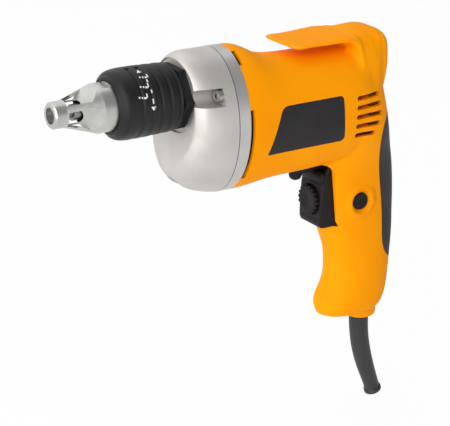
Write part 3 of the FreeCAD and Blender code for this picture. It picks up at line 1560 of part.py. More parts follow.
bore_bend = Part.Wire(Part.Arc(bend_start, bend_middle, bend_end).toShape()).makePipeShell(
    [Part.Wire(Part.makeCircle(float(dim.guard_bore_radius), bend_start, -way_z))], True, False)
bore_lead = rod_shape(dim.guard_bore_radius, dim.guard_lead + dim.guard_flange_length + dim.overrun,
                      bend_start, way_z)
guard_shape = guard_outside.fuse(guard_rim).fuse(guard_flange).cut(bore_run).cut(bore_bend).cut(bore_lead)
solid_of("cord_guard", guard_shape)
boss_top = -dim.guard_start - dim.guard_flange_length + dim.guard_boss_length
boss = rod_shape(dim.guard_boss_radius, dim.guard_boss_length, point(dim.guard_place, 0, boss_top), -way_z)
boss_rims = [
    edge for edge in boss.Edges
    if edge.BoundBox.ZMax < float(boss_top - dim.guard_flange_length)
]
boss = boss.makeFillet(float(dim.guard_flange_length), boss_rims)
guard_room = float(dim.sliding_clearance)
guard_hole = rod_shape(dim.guard_radius + dim.sliding_clearance, dim.guard_boss_length * 2,
                       point(dim.guard_place, 0, -dim.guard_start), -way_z)
cord_way = rod_shape(dim.guard_bore_radius, dim.guard_boss_length, guard_top, way_z)
flange_hole = rod_shape(dim.guard_flange_radius + dim.sliding_clearance,
                        dim.guard_flange_length + dim.sliding_clearance,
                        guard_top + way_z * guard_room, -way_z)

# Cord clamp: a bar on two posts inside the foot of the right half
z_clamp = -dim.guard_start + dim.clamp_height
x_clamp = dim.guard_place - dim.clamp_offset
clamp_spots = [x_clamp + (dim.clamp_length - dim.clamp_width) / 2 * side for side in (-1, 1)]
clamp_bar = block("clamp_bar", dim.clamp_length, dim.clamp_thickness, dim.clamp_width,
                  x_clamp - dim.clamp_length / 2, dim.clamp_gap, z_clamp - dim.clamp_width / 2)
keep(cut("cord_clamp", clamp_bar, *[
    rod(f"clamp_hole_{k}", dim.clamp_screw_radius + dim.seat_clearance,
        dim.clamp_thickness + dim.overrun * 2,
        x, dim.clamp_gap - dim.overrun, z_clamp, ALONG_Y)
    for k, x in enumerate(clamp_spots)
]), "cord_clamp")
group("clamp_screws", *[
    screw(f"clamp_screw_{k}", dim.clamp_screw_radius, dim.clamp_screw_length, dim.clamp_screw_head_radius,
          dim.clamp_screw_head_height, x, dim.clamp_gap - dim.clamp_screw_head_height, z_clamp,
          ALONG_Y, (0, 1, 0))
    for k, x in enumerate(clamp_spots)
])
clamp_seat = dim.clamp_gap + dim.clamp_thickness
clamp_posts = [
    rod_shape(dim.clamp_post_radius, far, point(x, clamp_seat, z_clamp), way_y)
    for x in clamp_spots
]
clamp_posts = clamp_posts[0].fuse(clamp_posts[1]).common(outside)
clamp_holes = [
    rod_shape(dim.clamp_screw_radius + dim.running_clearance, dim.clamp_screw_length + dim.overrun,
              point(x, clamp_seat - dim.overrun, z_clamp), way_y)
    for x in clamp_spots
]

# Openings in the shell: trigger cut-out, vents, exhaust gaps, screw wells and the button's hole
cut_low = -dim.cutout_top - dim.cutout_height
cutout = rounded([
    point(dim.cutout_rear, -far, -dim.cutout_top),
    point(dim.cutout_rear + dim.cutout_slant, -far, cut_low),
    point(dim.cutout_rear - dim.cutout_length, -far, cut_low),
    point(dim.cutout_rear - dim.cutout_length, -far, -dim.cutout_top),
], [dim.cutout_corner] * 4)
cutters = [prism(cutout, point(0, far * 2, 0))]
slot_room = dim.trigger_half_width + dim.sliding_clearance
cutters.append(box_shape(
    point(dim.cutout_rear - dim.cutout_corner * 2, -slot_room, cut_low + dim.sliding_clearance),
    point(x_switch, slot_room, -dim.cutout_top),
))
for number, length_share in enumerate(VENT_LENGTH_SHARES):
    z = -dim.vent_top - dim.vent_pitch * number
    vent_rear = dim.vent_front + dim.vent_length * length_share
    half = dim.vent_height / 2
    for side in (-1, 1):
        ends = sorted((float(dim.vent_depth) * side, float(far) * side))
        slot = rounded([
            point(dim.vent_front, ends[0], z - half),
            point(vent_rear, ends[0], z - half),
            point(vent_rear, ends[0], z + half),
            point(dim.vent_front, ends[0], z + half),
        ], [dim.vent_height * VENT_END_SHARE] * 4)
        cutters.append(prism(slot, Vector(0, ends[1] - ends[0], 0)))
for low_share, high_share in (LOWER_EXHAUST_SHARES, UPPER_EXHAUST_SHARES):
    low = dim.rim_bottom * low_share if low_share < 0 else dim.rim_top * low_share
    high = dim.rim_bottom * high_share if high_share < 0 else dim.rim_top * high_share
    gap = box_shape(point(x_body - dim.overrun, -far, low), point(x_body + dim.exhaust_width, far, high))
    cutters.append(gap)
for x, z in screw_spots:
    reach = float(dim.housing_screw_reach)
    cutters.append(rod_shape(dim.screw_well_radius, far, Vector(x, reach, z), way_y))
    cutters.append(rod_shape(dim.housing_screw_radius + dim.running_clearance, reach * 2 + reach / 10,
                             Vector(x, -reach - reach / 10, z), way_y))
cutters += [
    rod_shape(dim.case_screw_radius + dim.running_clearance, post_length + dim.overrun / 4,
              point(x_body - dim.overrun / 2, y, z), way_x)
    for y, z in SCREW_PLACES
]
handle_side = -dim.handle_half_width * LOCK_WIDTH_SHARE
dish_depth = float(dim.button_dish_depth)
dish_ball = (float(dim.button_dish_radius) ** 2 + dish_depth ** 2) / dish_depth / 2
dish_middle = point(dim.button_place, handle_side + dish_depth - dish_ball, -dim.button_drop)
cutters.append(Part.makeSphere(dish_ball, dish_middle))
button_hole = rod_shape(dim.button_radius + dim.sliding_clearance, far,
                        point(dim.button_place, -dim.switch_half_width, -dim.button_drop), -way_y)
cutters += [button_hole, guard_hole, flange_hole, cord_way] + clamp_holes

# Soft grip and name plates are inlaid, so their beds are cut from the shell
grip_points = [point(dim.handle_place + dim.handle_depth * back, -far, z_motor - dim.handle_length * down)
               for down, back in GRIP_EDGE_SHARES]
grip_edge = Part.BSplineCurve()
grip_edge.interpolate(grip_points)
grip_back = dim.handle_place + dim.handle_depth
corners = [
    point(grip_back, -far, grip_points[-1].z),
    point(grip_back, -far, grip_points[0].z),
]
grip_loop = Part.Wire([
    grip_edge.toShape(),
    Part.LineSegment(grip_points[-1], corners[0]).toShape(),
    Part.LineSegment(corners[0], corners[1]).toShape(),
    Part.LineSegment(corners[1], grip_points[0]).toShape(),
])
grip_band = prism(grip_loop, point(0, far * 2, 0))
grip_layer = outside.common(grip_band).cut(skin(dim.grip_depth))
plate_end = dim.name_plate_front + dim.name_plate_length
plate_low = -dim.name_plate_top - dim.name_plate_height
name_loop = rounded([
    point(dim.name_plate_front, -far, plate_low),
    point(plate_end, -far, plate_low),
    point(plate_end - dim.name_plate_rake, -far, -dim.name_plate_top),
    point(dim.name_plate_front + dim.name_plate_slant, -far, -dim.name_plate_top),
], [dim.name_plate_sharp_corner, dim.name_plate_corner, dim.name_plate_corner, dim.name_plate_large_corner])
plate_layer = barrel(0).common(prism(name_loop, point(0, far * 2, 0))).cut(barrel(dim.plate_depth))

shell = outside.fuse(belt_hook()).fuse(boss)
shell = shell.cut(inside).cut(mouth).fuse(fittings).fuse(clamp_posts)
shell = shell.cut(Part.makeCompound(cutters))
shell = shell.cut(grip_layer).cut(plate_layer)
lowest = z_motor - far * 2
for side, half in ((-1, "left"), (1, "right")):
    ends = sorted((0, float(far) * side))
    room = box_shape(Vector(0, ends[0], float(lowest)), Vector(float(far) * 3, ends[1], float(far)))
    solid_of(f"{half}_housing", shell.common(room))
    solid_of(f"{half}_grip", grip_layer.common(room))
    solid_of(f"{half}_name_plate", plate_layer.common(room))
group("housing_screws", *[
    screw(f"housing_screw_{k}", dim.housing_screw_radius, dim.housing_screw_reach * 2,
          dim.housing_screw_head_radius,
          dim.housing_screw_head_height, x, dim.housing_screw_reach + dim.housing_screw_head_height, z,
          ALONG_Y * Rotation(Vector(1, 0, 0), 180), (0, -1, 0))
    for k, (x, z) in enumerate(screw_spots)
])

# Lock button on the left of the handle: a round cap with a flange behind the wall, and its spring
button_face = handle_side - dim.button_proud
flange_start = handle_side + dim.housing_wall + dim.button_flange_gap
button_end = flange_start + dim.button_flange_thickness
button_tip = doc.addObject("Part::Cone", "button_tip")
bind(button_tip, Radius1=dim.button_radius - dim.button_blunt, Radius2=dim.button_radius,
     Height=dim.button_blunt)
place(button_tip, dim.button_place, button_face, -dim.button_drop, ALONG_Y)
button_side = button_face + dim.button_blunt
keep(fuse(
    "lock_button",
    button_tip,
    rod("button_cap", dim.button_radius, button_end - button_side,
        dim.button_place, button_side, -dim.button_drop, ALONG_Y),
    rod("button_flange", dim.button_flange_radius, dim.button_flange_thickness,
        dim.button_place, flange_start, -dim.button_drop, ALONG_Y),
), "lock_button")
spring_start = button_end + dim.seat_clearance
coil("lock_spring", dim.lock_spring_radius, dim.lock_spring_wire, LOCK_SPRING_TURNS,
     (dim.button_place, spring_start, -dim.button_drop),
     -dim.switch_half_width - dim.seat_clearance - spring_start, ALONG_Y)

doc.recompute()
broken = [thing.Label for thing in doc.Objects if "Invalid" in thing.State or "Error" in thing.State]
broken += [thing.Label for thing in nodes if thing.Shape.isNull() or not thing.Shape.isValid()]
if broken:
    raise RuntimeError(f"not built: {broken}")
os.makedirs("parts", exist_ok=True)
for thing in nodes:
    thing.Shape.exportStep(f"parts/{thing.Label}.step")
    print(f"{thing.Label}: {len(thing.Shape.Solids)} solids, {thing.Shape.Volume:.0f} mm3")
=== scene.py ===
import math

import bmesh
import bpy
from mathutils import Matrix, Vector


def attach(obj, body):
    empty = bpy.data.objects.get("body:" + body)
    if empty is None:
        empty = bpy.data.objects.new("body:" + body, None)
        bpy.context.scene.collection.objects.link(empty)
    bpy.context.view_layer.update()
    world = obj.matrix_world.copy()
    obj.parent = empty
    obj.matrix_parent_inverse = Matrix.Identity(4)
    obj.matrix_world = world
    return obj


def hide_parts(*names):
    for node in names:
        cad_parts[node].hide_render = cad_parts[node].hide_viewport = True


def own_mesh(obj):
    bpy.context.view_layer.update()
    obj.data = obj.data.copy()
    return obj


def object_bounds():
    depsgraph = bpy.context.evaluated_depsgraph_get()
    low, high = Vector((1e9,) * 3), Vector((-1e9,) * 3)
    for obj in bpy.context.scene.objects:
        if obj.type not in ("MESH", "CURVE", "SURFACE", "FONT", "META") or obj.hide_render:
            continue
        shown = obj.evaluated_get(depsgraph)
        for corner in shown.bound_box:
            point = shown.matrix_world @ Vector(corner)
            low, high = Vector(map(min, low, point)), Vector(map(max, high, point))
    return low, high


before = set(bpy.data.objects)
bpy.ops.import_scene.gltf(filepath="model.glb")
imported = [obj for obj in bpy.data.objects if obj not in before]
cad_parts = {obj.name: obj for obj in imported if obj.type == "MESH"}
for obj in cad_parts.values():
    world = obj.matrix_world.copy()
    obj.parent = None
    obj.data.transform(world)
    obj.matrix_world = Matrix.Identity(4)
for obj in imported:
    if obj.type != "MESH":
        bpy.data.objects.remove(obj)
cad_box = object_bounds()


# Driver bit, its holder and the spindle behind it: hardened tool steel, turned on a lathe. A
# magnet holds the bit, and a wire ring its holder. Fine turning marks run round the axis and dull
# the shine.
MM = 0.001
RING_STRETCH = 0.02


def linear(colour):
    """An sRGB hex colour as linear values."""
    parts = [int(colour[k:k + 2], 16) / 255 for k in (1, 3, 5)]
    lit = [p / 12.92 if p <= 0.04045 else ((p + 0.055) / 1.055) ** 2.4 for p in parts]
    return (*lit, 1.0)


def node(tree, kind, inputs=None, **settings):
    """A shader node with its settings; an input is a value or the socket that feeds it."""
    made = tree.nodes.new(f"ShaderNode{kind}")
    for name, value in settings.items():
        setattr(made, name, value)
    for name, value in (inputs or {}).items():
        if isinstance(value, bpy.types.NodeSocket):
            tree.links.new(value, made.inputs[name])
        else:
            made.inputs[name].default_value = value
    return made


def per_mm(size):
    """Pattern scale whose features are that many millimetres wide."""
    return 1 / (size * MM)


def finish_of(name):
    """A new material, its tree, its shader and its object coordinates."""
    material = bpy.data.materials.new(name)
    material.use_nodes = True
    tree = material.node_tree
    shader = tree.nodes["Principled BSDF"]
    place = node(tree, "TexCoord").outputs["Object"]
    return material, tree, shader, place


def feed(tree, shader, tone, dulling, relief):
    """Links a finish's colour, roughness and relief to its shader."""
    tree.links.new(tone.outputs["Color"], shader.inputs["Base Color"])
    tree.links.new(dulling.outputs["Result"], shader.inputs["Roughness"])
    tree.links.new(relief.outputs["Normal"], shader.inputs["Normal"])


def paint(material, *names):
    """Gives CAD nodes a material."""
    for name in names:
        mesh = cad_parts[name].data
        mesh.materials.clear()
        mesh.materials.append(material)


def turned_metal(name, colour, dark, roughness, mark_mm):
    """Turned metal: fine rings round the X axis vary its roughness and tone. Real marks are about
    0.1 mm apart and are drawn a few times coarser here, so that they show."""
    material, tree, shader, place = finish_of(name)
    stretched = node(tree, "Mapping", {"Vector": place, "Scale": (1, RING_STRETCH, RING_STRETCH)})
    rings = node(tree, "TexNoise", {
        "Vector": stretched.outputs["Vector"], "Scale": per_mm(mark_mm), "Detail": 3.0,
    })
    dulling = node(tree, "MapRange", {
        "Value": rings.outputs["Fac"], "To Min": roughness - 0.08, "To Max": roughness + 0.1,
    })
    tone = node(tree, "MixRGB", {
        "Fac": rings.outputs["Fac"], "Color1": linear(colour), "Color2": linear(dark),
    })
    relief = node(tree, "Bump", {
        "Height": rings.outputs["Fac"], "Strength": 0.15, "Distance": 0.05 * MM,
    })
    feed(tree, shader, tone, dulling, relief)
    shader.inputs["Metallic"].default_value = 1.0
    return material


tool_steel = turned_metal("turned tool steel", "#A9A8AA", "#6F6E70", roughness=0.34, mark_mm=0.4)
paint(tool_steel, "driver_bit", "bit_holder", "spindle", "drive_gear", "thrust_washer",
      "armature_shaft")
# Drawn wire is smoother than turned steel; ground bearing rings are smoother and brighter.
spring_steel = turned_metal("drawn spring steel", "#9C9CA0", "#6F6E70", roughness=0.3, mark_mm=0.3)
paint(spring_steel, "clutch_spring", "trigger_spring", "lock_spring", "bit_ring")
bearing_steel = turned_metal("ground bearing steel", "#B9BABC", "#85868A", roughness=0.22,
                             mark_mm=0.3)
paint(bearing_steel, "front_bearing", "rear_bearing", "bit_magnet")
# Sintered bronze is brown and dull from the oil in its pores.
bronze = turned_metal("sintered bronze", "#B08A50", "#7E6238", roughness=0.45, mark_mm=0.5)
paint(bronze, "spindle_bush", "rear_bush", "brush_holders")


# Locator: a zinc die casting, tumbled to a fine satin, with windows that let the bit be seen.
# The tumbling leaves a faint grain and soft clouds of tone. It is pushed into its seat.
NOISE_SPAN = {"From Min": 0.3, "From Max": 0.7}
CLOUD_MM = 18


def cast_metal(name, colour, shade, roughness, grain_mm, grain_depth, metallic):
    """Bare casting: a satin metal with a fine grain and soft, broad clouds of tone. A real grain of
    about 0.1 mm is drawn coarser, so that it shows."""
    material, tree, shader, place = finish_of(name)
    grain = node(tree, "TexNoise", {
        "Vector": place, "Scale": per_mm(grain_mm), "Detail": 4.0, "Roughness": 0.6,
    })
    clouds = node(tree, "TexNoise", {"Vector": place, "Scale": per_mm(CLOUD_MM), "Detail": 2.0})
    drift = node(tree, "MapRange", {"Value": clouds.outputs["Fac"], **NOISE_SPAN})
    tone = node(tree, "MixRGB", {
        "Fac": drift.outputs["Result"], "Color1": linear(colour), "Color2": linear(shade),
    })
    dulling = node(tree, "MapRange", {
        "Value": grain.outputs["Fac"], **NOISE_SPAN,
        "To Min": roughness - 0.06, "To Max": roughness + 0.08,
    })
    relief = node(tree, "Bump", {
        "Height": grain.outputs["Fac"], "Strength": 0.25, "Distance": grain_depth * MM,
    })
    feed(tree, shader, tone, dulling, relief)
    shader.inputs["Metallic"].default_value = metallic
    return material


zinc = cast_metal("tumbled zinc casting", "#CACAC6", "#B8B9B5", roughness=0.35, grain_mm=0.7,
                  grain_depth=0.05, metallic=1.0)
paint(zinc, "locator")


# Depth sleeve: a collar of black glass-filled nylon, moulded with soft finger ribs, a domed front
# and a lip round its mouth; it screws on the nose tube. A smooth pad on its left carries the marks.
# The nylon is a deep, dull black with a fine grain.
FLOW_MM, WELD_MM = 30, 0.002


def moulded(name, colour, shade, roughness, grain_mm, grain_depth, ior=1.5, shine=0.5):
    """Moulded plastic: fine mould grain, broad uneven sheen and a slight drift of tone. A real
    grain of 0.1 to 0.2 mm is drawn coarser, so that it shows."""
    material, tree, shader, place = finish_of(name)
    grain = node(tree, "TexNoise", {"Vector": place, "Scale": per_mm(grain_mm), "Detail": 3.0})
    flow = node(tree, "TexNoise", {"Vector": place, "Scale": per_mm(FLOW_MM), "Detail": 2.0})
    drift = node(tree, "MapRange", {"Value": flow.outputs["Fac"], **NOISE_SPAN})
    tone = node(tree, "MixRGB", {
        "Fac": drift.outputs["Result"], "Color1": linear(colour), "Color2": linear(shade),
    })
    dulling = node(tree, "MapRange", {
        "Value": flow.outputs["Fac"], **NOISE_SPAN,
        "To Min": roughness - 0.04, "To Max": roughness + 0.05,
    })
    relief = node(tree, "Bump", {
        "Height": grain.outputs["Fac"], "Strength": 0.3, "Distance": grain_depth * MM,
    })
    feed(tree, shader, tone, dulling, relief)
    shader.inputs["IOR"].default_value = ior
    shader.inputs["Specular IOR Level"].default_value = shine
    return material


def spun(profile, start=0.0, turn=360.0, steps=120):
    """A shape spun about the X axis from (x, radius) pairs in millimetres; 0 degrees is the left
    side and 90 the top."""
    shape = bmesh.new()
    lean = math.radians(start)
    side = Vector((0, -math.cos(lean), math.sin(lean)))
    points = [
        shape.verts.new(Vector((x, 0, 0)) * MM + side * radius * MM) for x, radius in profile
    ]
    lines = [shape.edges.new(pair) for pair in zip(points, points[1:])]
    bmesh.ops.spin(shape, geom=points + lines, cent=(0, 0, 0), axis=(1, 0, 0),
                   angle=-math.radians(turn), steps=steps, use_merge=turn == 360.0)
    bmesh.ops.remove_doubles(shape, verts=shape.verts, dist=WELD_MM * MM)
    return shape


def piece(name, shape, material, body, slot, *stands_for, sharp=40.0):
    """The shape as a named piece that rides a body; it may stand for CAD nodes. Edges that turn by
    more than sharp degrees stay crisp."""
    bmesh.ops.recalc_face_normals(shape, faces=shape.faces)
    for edge in shape.edges:
        edge.smooth = len(edge.link_faces) != 2 or edge.calc_face_angle(0.0) < math.radians(sharp)
    for face in shape.faces:
        face.smooth = True
        face.material_index = 0
    data = bpy.data.meshes.new(name)
    shape.to_mesh(data)
    shape.free()
    data.materials.append(material)
    thing = bpy.data.objects.new(name, data)
    bpy.context.scene.collection.objects.link(thing)
    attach(thing, body)
    if stands_for:
        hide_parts(*stands_for)
    return thing


black_nylon = moulded("black glass-filled nylon", "#19181A", "#151416", roughness=0.44,
                      grain_mm=0.5, grain_depth=0.04, shine=0.3)
sleeve_dome = [
    (40.3, 17.6), (40.0, 17.9), (40.2, 18.5), (40.8, 18.9), (41.3, 19.1), (41.6, 19.6),
    (42.0, 20.4), (42.7, 21.3), (43.7, 22.0), (45.2, 22.5), (47.2, 22.85), (49.4, 22.97),
]
RIB_START, RIB_POINTS, POINT_GAP = 50.0, 69, 0.49
RIB_PITCH, RIB_DEPTH, FIRST_GROOVE, GROOVE_POWER = 7.0, 0.85, 53.9, 1.4
CREST_RADIUS, TAPER, TAPER_START, TAPER_LENGTH = 23.1, 0.7, 62.0, 22.0
sleeve_ribs = []
for step in range(RIB_POINTS):
    x = RIB_START + step * POINT_GAP
    crest = CREST_RADIUS - TAPER * max(0.0, x - TAPER_START) / TAPER_LENGTH
    ripple = math.cos((x - FIRST_GROOVE) / RIB_PITCH * math.tau)
    sleeve_ribs.append((x, crest - RIB_DEPTH * max(0.0, ripple) ** GROOVE_POWER))
sleeve_bore = [
    (83.9, 22.2), (84.4, 21.7), (84.5, 21.0), (84.5, 18.3), (59.3, 18.3), (59.3, 19.7),
    (44.7, 19.7), (44.7, 16.3), (40.6, 16.3), (40.2, 16.7), (40.3, 17.6),
]
piece("depth_collar", spun(sleeve_dome + sleeve_ribs + sleeve_bore, steps=144), black_nylon,
      "depth_sleeve", "black_nylon", "depth_sleeve")

pad = spun([
    (49.8, 21.8), (49.8, 22.95), (50.4, 23.1), (52.0, 23.14), (57.0, 23.15), (62.0, 23.14),
    (64.0, 22.95), (65.2, 22.5), (65.2, 21.8), (49.8, 21.8),
], start=88.0, turn=130.0, steps=64)
pad_ends = [edge for edge in pad.edges if len(edge.link_faces) == 1]
bmesh.ops.holes_fill(pad, edges=pad_ends, sides=0)
piece("sleeve_pad", pad, black_nylon, "depth_sleeve", "black_nylon")
paint(black_nylon, "depth_sleeve", "index_ring", "nose_tube", "fan")
# The rubber of the locator's ring and the case's seal is dull and even.
ring_rubber = moulded("black ring rubber", "#1A191A", "#161516", roughness=0.6, grain_mm=0.8,
                      grain_depth=0.03)
paint(ring_rubber, "locator_ring", "case_gasket")


# Depth marks: white ink, pad-printed on the sleeve's smooth pad, flat and slightly chalky. Two
# arrows and dashes show the way to turn, and three small screws drawn from the side show depths.
INK_RADIUS, INK_THICKNESS = 23.17, 0.03
ink = moulded("white printing ink", "#E9E9E6", "#E1E1DE", roughness=0.5, grain_mm=0.4,
              grain_depth=0.01)


def ink_bar(x, width, angle, span):
    """A printed bar: its middle and width along the axis, its middle angle and its angle's span."""
    low, high = (x - width / 2, INK_RADIUS), (x + width / 2, INK_RADIUS)
    return spun([low, high], start=angle + span / 2, turn=span, steps=6)


def joined(*shapes):
    """One shape from several."""
    whole = bmesh.new()
    for shape in shapes:
        sheet = bpy.data.meshes.new("part of a shape")
        shape.to_mesh(sheet)
        shape.free()
        whole.from_mesh(sheet)
        bpy.data.meshes.remove(sheet)
    return whole


ink_bars = []
# Screws: a head, a neck and two turns of thread.
for x, angle in ((61.6, 53.0), (59.1, 35.5), (56.2, 19.0)):
    ink_bars += [ink_bar(x + 1.1, 1.0, angle, 6.6), ink_bar(x - 0.2, 2.0, angle, 3.2)]
    ink_bars += [ink_bar(x - back, 1.1, angle + back * 0.5, 3.0) for back in (2.4, 4.4)]
# Dashes.
for x, angle in ((60.9, 44.0), (61.3, 25.5)):
    ink_bars.append(ink_bar(x, 1.0, angle, 5.5))
# Arrows: a stem, and a head in four steps.
for x, angle, way in ((59.2, 67.0, 1), (61.1, 5.0, -1)):
    ink_bars.append(ink_bar(x, 1.0, angle - way * 3.0, 7.5))
    for ahead, width in ((0.6, 3.4), (2.0, 2.6), (3.4, 1.8), (4.8, 0.9)):
        ink_bars.append(ink_bar(x, width, angle + way * ahead, 1.7))
printed = piece("depth_marks", joined(*ink_bars), ink, "depth_sleeve", "black_nylon")
coat = printed.modifiers.new("ink thickness", "SOLIDIFY")
coat.thickness = INK_THICKNESS * MM
coat.offset = 0


# Gear case and its plate: aluminium die castings left bare and bead-blasted, so they have a pale
# satin surface with a fine grain. Cast corners are blended, so the case's edges are eased.
SOFT_SHARE = 0.3


def merged(*names):
    """One shape from copies of CAD solids, joined where they touch."""
    shape = bmesh.new()
    for name in names:
        shape.from_mesh(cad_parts[name].data)
    bmesh.ops.remove_doubles(shape, verts=shape.verts, dist=WELD_MM * MM)
    return shape


def shares(thing, share_of):
    """A vertex group that holds share_of for each place, in millimetres, on a piece."""
    group = thing.vertex_groups.new(name=share_of.__name__)
    for vertex in thing.data.vertices:
        share = share_of(*(vertex.co / MM))
        if share > 0:
            group.add([vertex.index], min(1.0, share), "REPLACE")
    return group.name


def eased(thing, passes, strength, share_of):
    """Blends the edges of a piece's surface by the share for each place, and softens their shading
    where the share is more than a trace."""
    ease = thing.modifiers.new("eased", "LAPLACIANSMOOTH")
    ease.vertex_group = shares(thing, share_of)
    for edge in thing.data.edges:
        if all(share_of(*(thing.data.vertices[k].co / MM)) > SOFT_SHARE for k in edge.vertices):
            edge.use_edge_sharp = False
    ease.iterations = passes
    ease.lambda_factor = strength
    ease.lambda_border = 0
    ease.use_volume_preserve = False


def raised(thing, height, share_of, way="NORMAL"):
    """Moves a piece's surface outwards, or along an axis, by a height in millimetres times the
    share for each place."""
    lift = thing.modifiers.new("raised", "DISPLACE")
    lift.vertex_group = shares(thing, share_of)
    lift.strength = height * MM
    lift.mid_level = 0
    lift.direction = way


def rise(value, start, end):
    """0 before start, 1 after end and a soft step between."""
    part = max(0.0, min(1.0, (value - start) / (end - start)))
    return part * part * (3 - 2 * part)


aluminium = cast_metal("blasted aluminium casting", "#D2CECA", "#C8C4C0", roughness=0.58,
                       grain_mm=0.6, grain_depth=0.05, metallic=0.95)
paint(aluminium, "gear_case")
case_casting = piece("case_casting", merged("gear_case"), aluminium, "tool", "cast_aluminium",
                     "gear_case")


def case_belly(x, y, z):
    """The case's front, which leans forward under the nose."""
    return rise(-x, -112.0, -92.0) * max(0.0, min(1.0, (-z - 22.0) / 30.0))


def nut_seat(x, y, z):
    """The hollow round the nose nut, open so that the nut stands clear."""
    return rise(-math.hypot(y, z), -44.0, -24.0) * rise(-z, -6.0, 2.0) * rise(-x, -96.0, -90.5)


def case_front(x, y, z):
    """How far a place on the case takes part in the blending: its front below the nose."""
    return rise(math.hypot(y, z), 27.0, 31.0) * rise(-x, -108.0, -102.0) * rise(-z, 6.0, 10.0)


raised(case_casting, height=-5.0, share_of=case_belly, way="X")
raised(case_casting, height=1.6, share_of=nut_seat, way="X")
eased(case_casting, passes=12, strength=1.0, share_of=case_front)
# The plate's edge is machined, so it is smoother and shinier than the blasted case.
plate_aluminium = cast_metal("machined aluminium plate", "#CBC9C7", "#C1BFBD", roughness=0.4,
                             grain_mm=0.5, grain_depth=0.04, metallic=0.95)
paint(plate_aluminium, "gear_plate")


# Case screws: zinc-plated steel pan heads with a hexagon socket, bright with a faint turned ring.
# Three of them, round the case's edge, clamp the case and its plate to the housing.
def points_of(made):
    """The vertices among what an operator made."""
    return [part for part in made if isinstance(part, bmesh.types.BMVert)]


def edges_of(made):
    """The edges among what an operator made."""
    return [part for part in made if isinstance(part, bmesh.types.BMEdge)]


def turned(shape, degrees, axis):
    """Turns a shape about an axis through the origin."""
    bmesh.ops.rotate(shape, verts=shape.verts, cent=(0, 0, 0),
                     matrix=Matrix.Rotation(math.radians(degrees), 3, axis))


def moved(shape, x=0.0, y=0.0, z=0.0):
    """Moves a shape by millimetres."""
    bmesh.ops.translate(shape, verts=shape.verts, vec=Vector((x, y, z)) * MM)


def socket_screw(head_radius, head_height, socket_radius, socket_depth, shank_radius, shank_length):
    """A screw along +X whose head's top is at 0 and whose shank runs on behind the head."""
    shape = bmesh.new()
    rim = bmesh.ops.create_circle(shape, segments=36, radius=(head_radius - 0.5) * MM)["verts"]
    socket = bmesh.ops.create_circle(shape, segments=6, radius=socket_radius * MM)["verts"]
    bmesh.ops.bridge_loops(shape, edges=shape.edges[:])
    mouth = [edge for edge in shape.edges if all(point in socket for point in edge.verts)]
    sunk = bmesh.ops.extrude_edge_only(shape, edges=mouth)["geom"]
    bmesh.ops.translate(shape, verts=points_of(sunk), vec=(0, 0, -socket_depth * MM))
    bmesh.ops.holes_fill(shape, edges=edges_of(sunk), sides=0)
    outer = [edge for edge in shape.edges if all(point in rim for point in edge.verts)]
    # The head's rounded rim, its side and underside, and the shank.
    for radius, depth in (
        (head_radius - 0.15, 0.18), (head_radius, 0.6), (head_radius, head_height),
        (shank_radius, head_height), (shank_radius, head_height + shank_length),
    ):
        grown = bmesh.ops.extrude_edge_only(shape, edges=outer)["geom"]
        ring = points_of(grown)
        now = max(Vector((point.co.x, point.co.y)).length for point in ring)
        bmesh.ops.scale(shape, vec=(radius * MM / now, radius * MM / now, 1), verts=ring)
        bmesh.ops.translate(shape, verts=ring, vec=(0, 0, -depth * MM - ring[0].co.z))
        outer = edges_of(grown)
    bmesh.ops.holes_fill(shape, edges=outer, sides=0)
    turned(shape, -90, "Y")
    return shape


def several(shape, places):
    """Copies of a shape at places in millimetres."""
    copies = []
    for spot in places:
        one = shape.copy()
        moved(one, *spot)
        copies.append(one)
    shape.free()
    return joined(*copies)


zinc_plate = turned_metal("zinc-plated steel", "#B9BABC", "#8E8F92", roughness=0.28, mark_mm=0.4)
paint(zinc_plate, "case_screws", "housing_screws", "clamp_screws")
case_screw = socket_screw(head_radius=4.4, head_height=3.6, socket_radius=2.0, socket_depth=2.0,
                          shank_radius=2.4, shank_length=30.0)
case_screw_places = ((105.4, -26, 3.6), (105.4, 26, 3.6), (105.4, 0, -60.5))
piece("case_screw_heads", several(case_screw, case_screw_places), zinc_plate,
      "tool", "zinc_plated_steel", "case_screws", sharp=30.0)


# Motor: stacked steel sheets wound with varnished copper wire, with brushes of pressed carbon, held
# in bearings inside the housing. It only shows as dark shapes behind the slots.
laminated = turned_metal("stacked steel sheets", "#4B4A4C", "#3A393B", roughness=0.5, mark_mm=0.5)
paint(laminated, "armature_core", "field_core")
copper = turned_metal("varnished copper wire", "#6A3A1C", "#4A2812", roughness=0.4, mark_mm=0.6)
paint(copper, "armature_windings", "field_coils", "commutator")
carbon = moulded("pressed carbon", "#1B1A1B", "#161516", roughness=0.55, grain_mm=0.6,
                 grain_depth=0.03)
paint(carbon, "carbon_brushes")


# Painted shade: a band of dull, near-black card bent round inside the barrel's front edge, which
# shows as shade through the slots in the edge and hides the fan behind them.
BAND_HALF_HEIGHT, BAND_HALF_WIDTH, BAND_DEPTH, CARD_THICKNESS = 45.6, 32.4, 5.2, 0.4
slot_shade = bmesh.new()
bmesh.ops.create_circle(slot_shade, segments=96, radius=1.0)
bmesh.ops.scale(slot_shade, verts=slot_shade.verts, vec=(BAND_HALF_HEIGHT * MM, BAND_HALF_WIDTH * MM, 1))
turned(slot_shade, 90, "Y")
moved(slot_shade, x=126.9, z=-20.75)
band = bmesh.ops.extrude_edge_only(slot_shade, edges=slot_shade.edges[:])["geom"]
bmesh.ops.translate(slot_shade, verts=points_of(band), vec=Vector((BAND_DEPTH, 0, 0)) * MM)
# The card's near-black colour paints the shade inside the slots and the vents.
card = moulded("black card painted shade", "#121112", "#0E0D0E", roughness=0.8, grain_mm=0.4,
               grain_depth=0.03)
slot_shade_band = piece("slot_shade_band", slot_shade, card, "tool", "black_nylon")
slot_shade_band.modifiers.new("card thickness", "SOLIDIFY").thickness = CARD_THICKNESS * MM
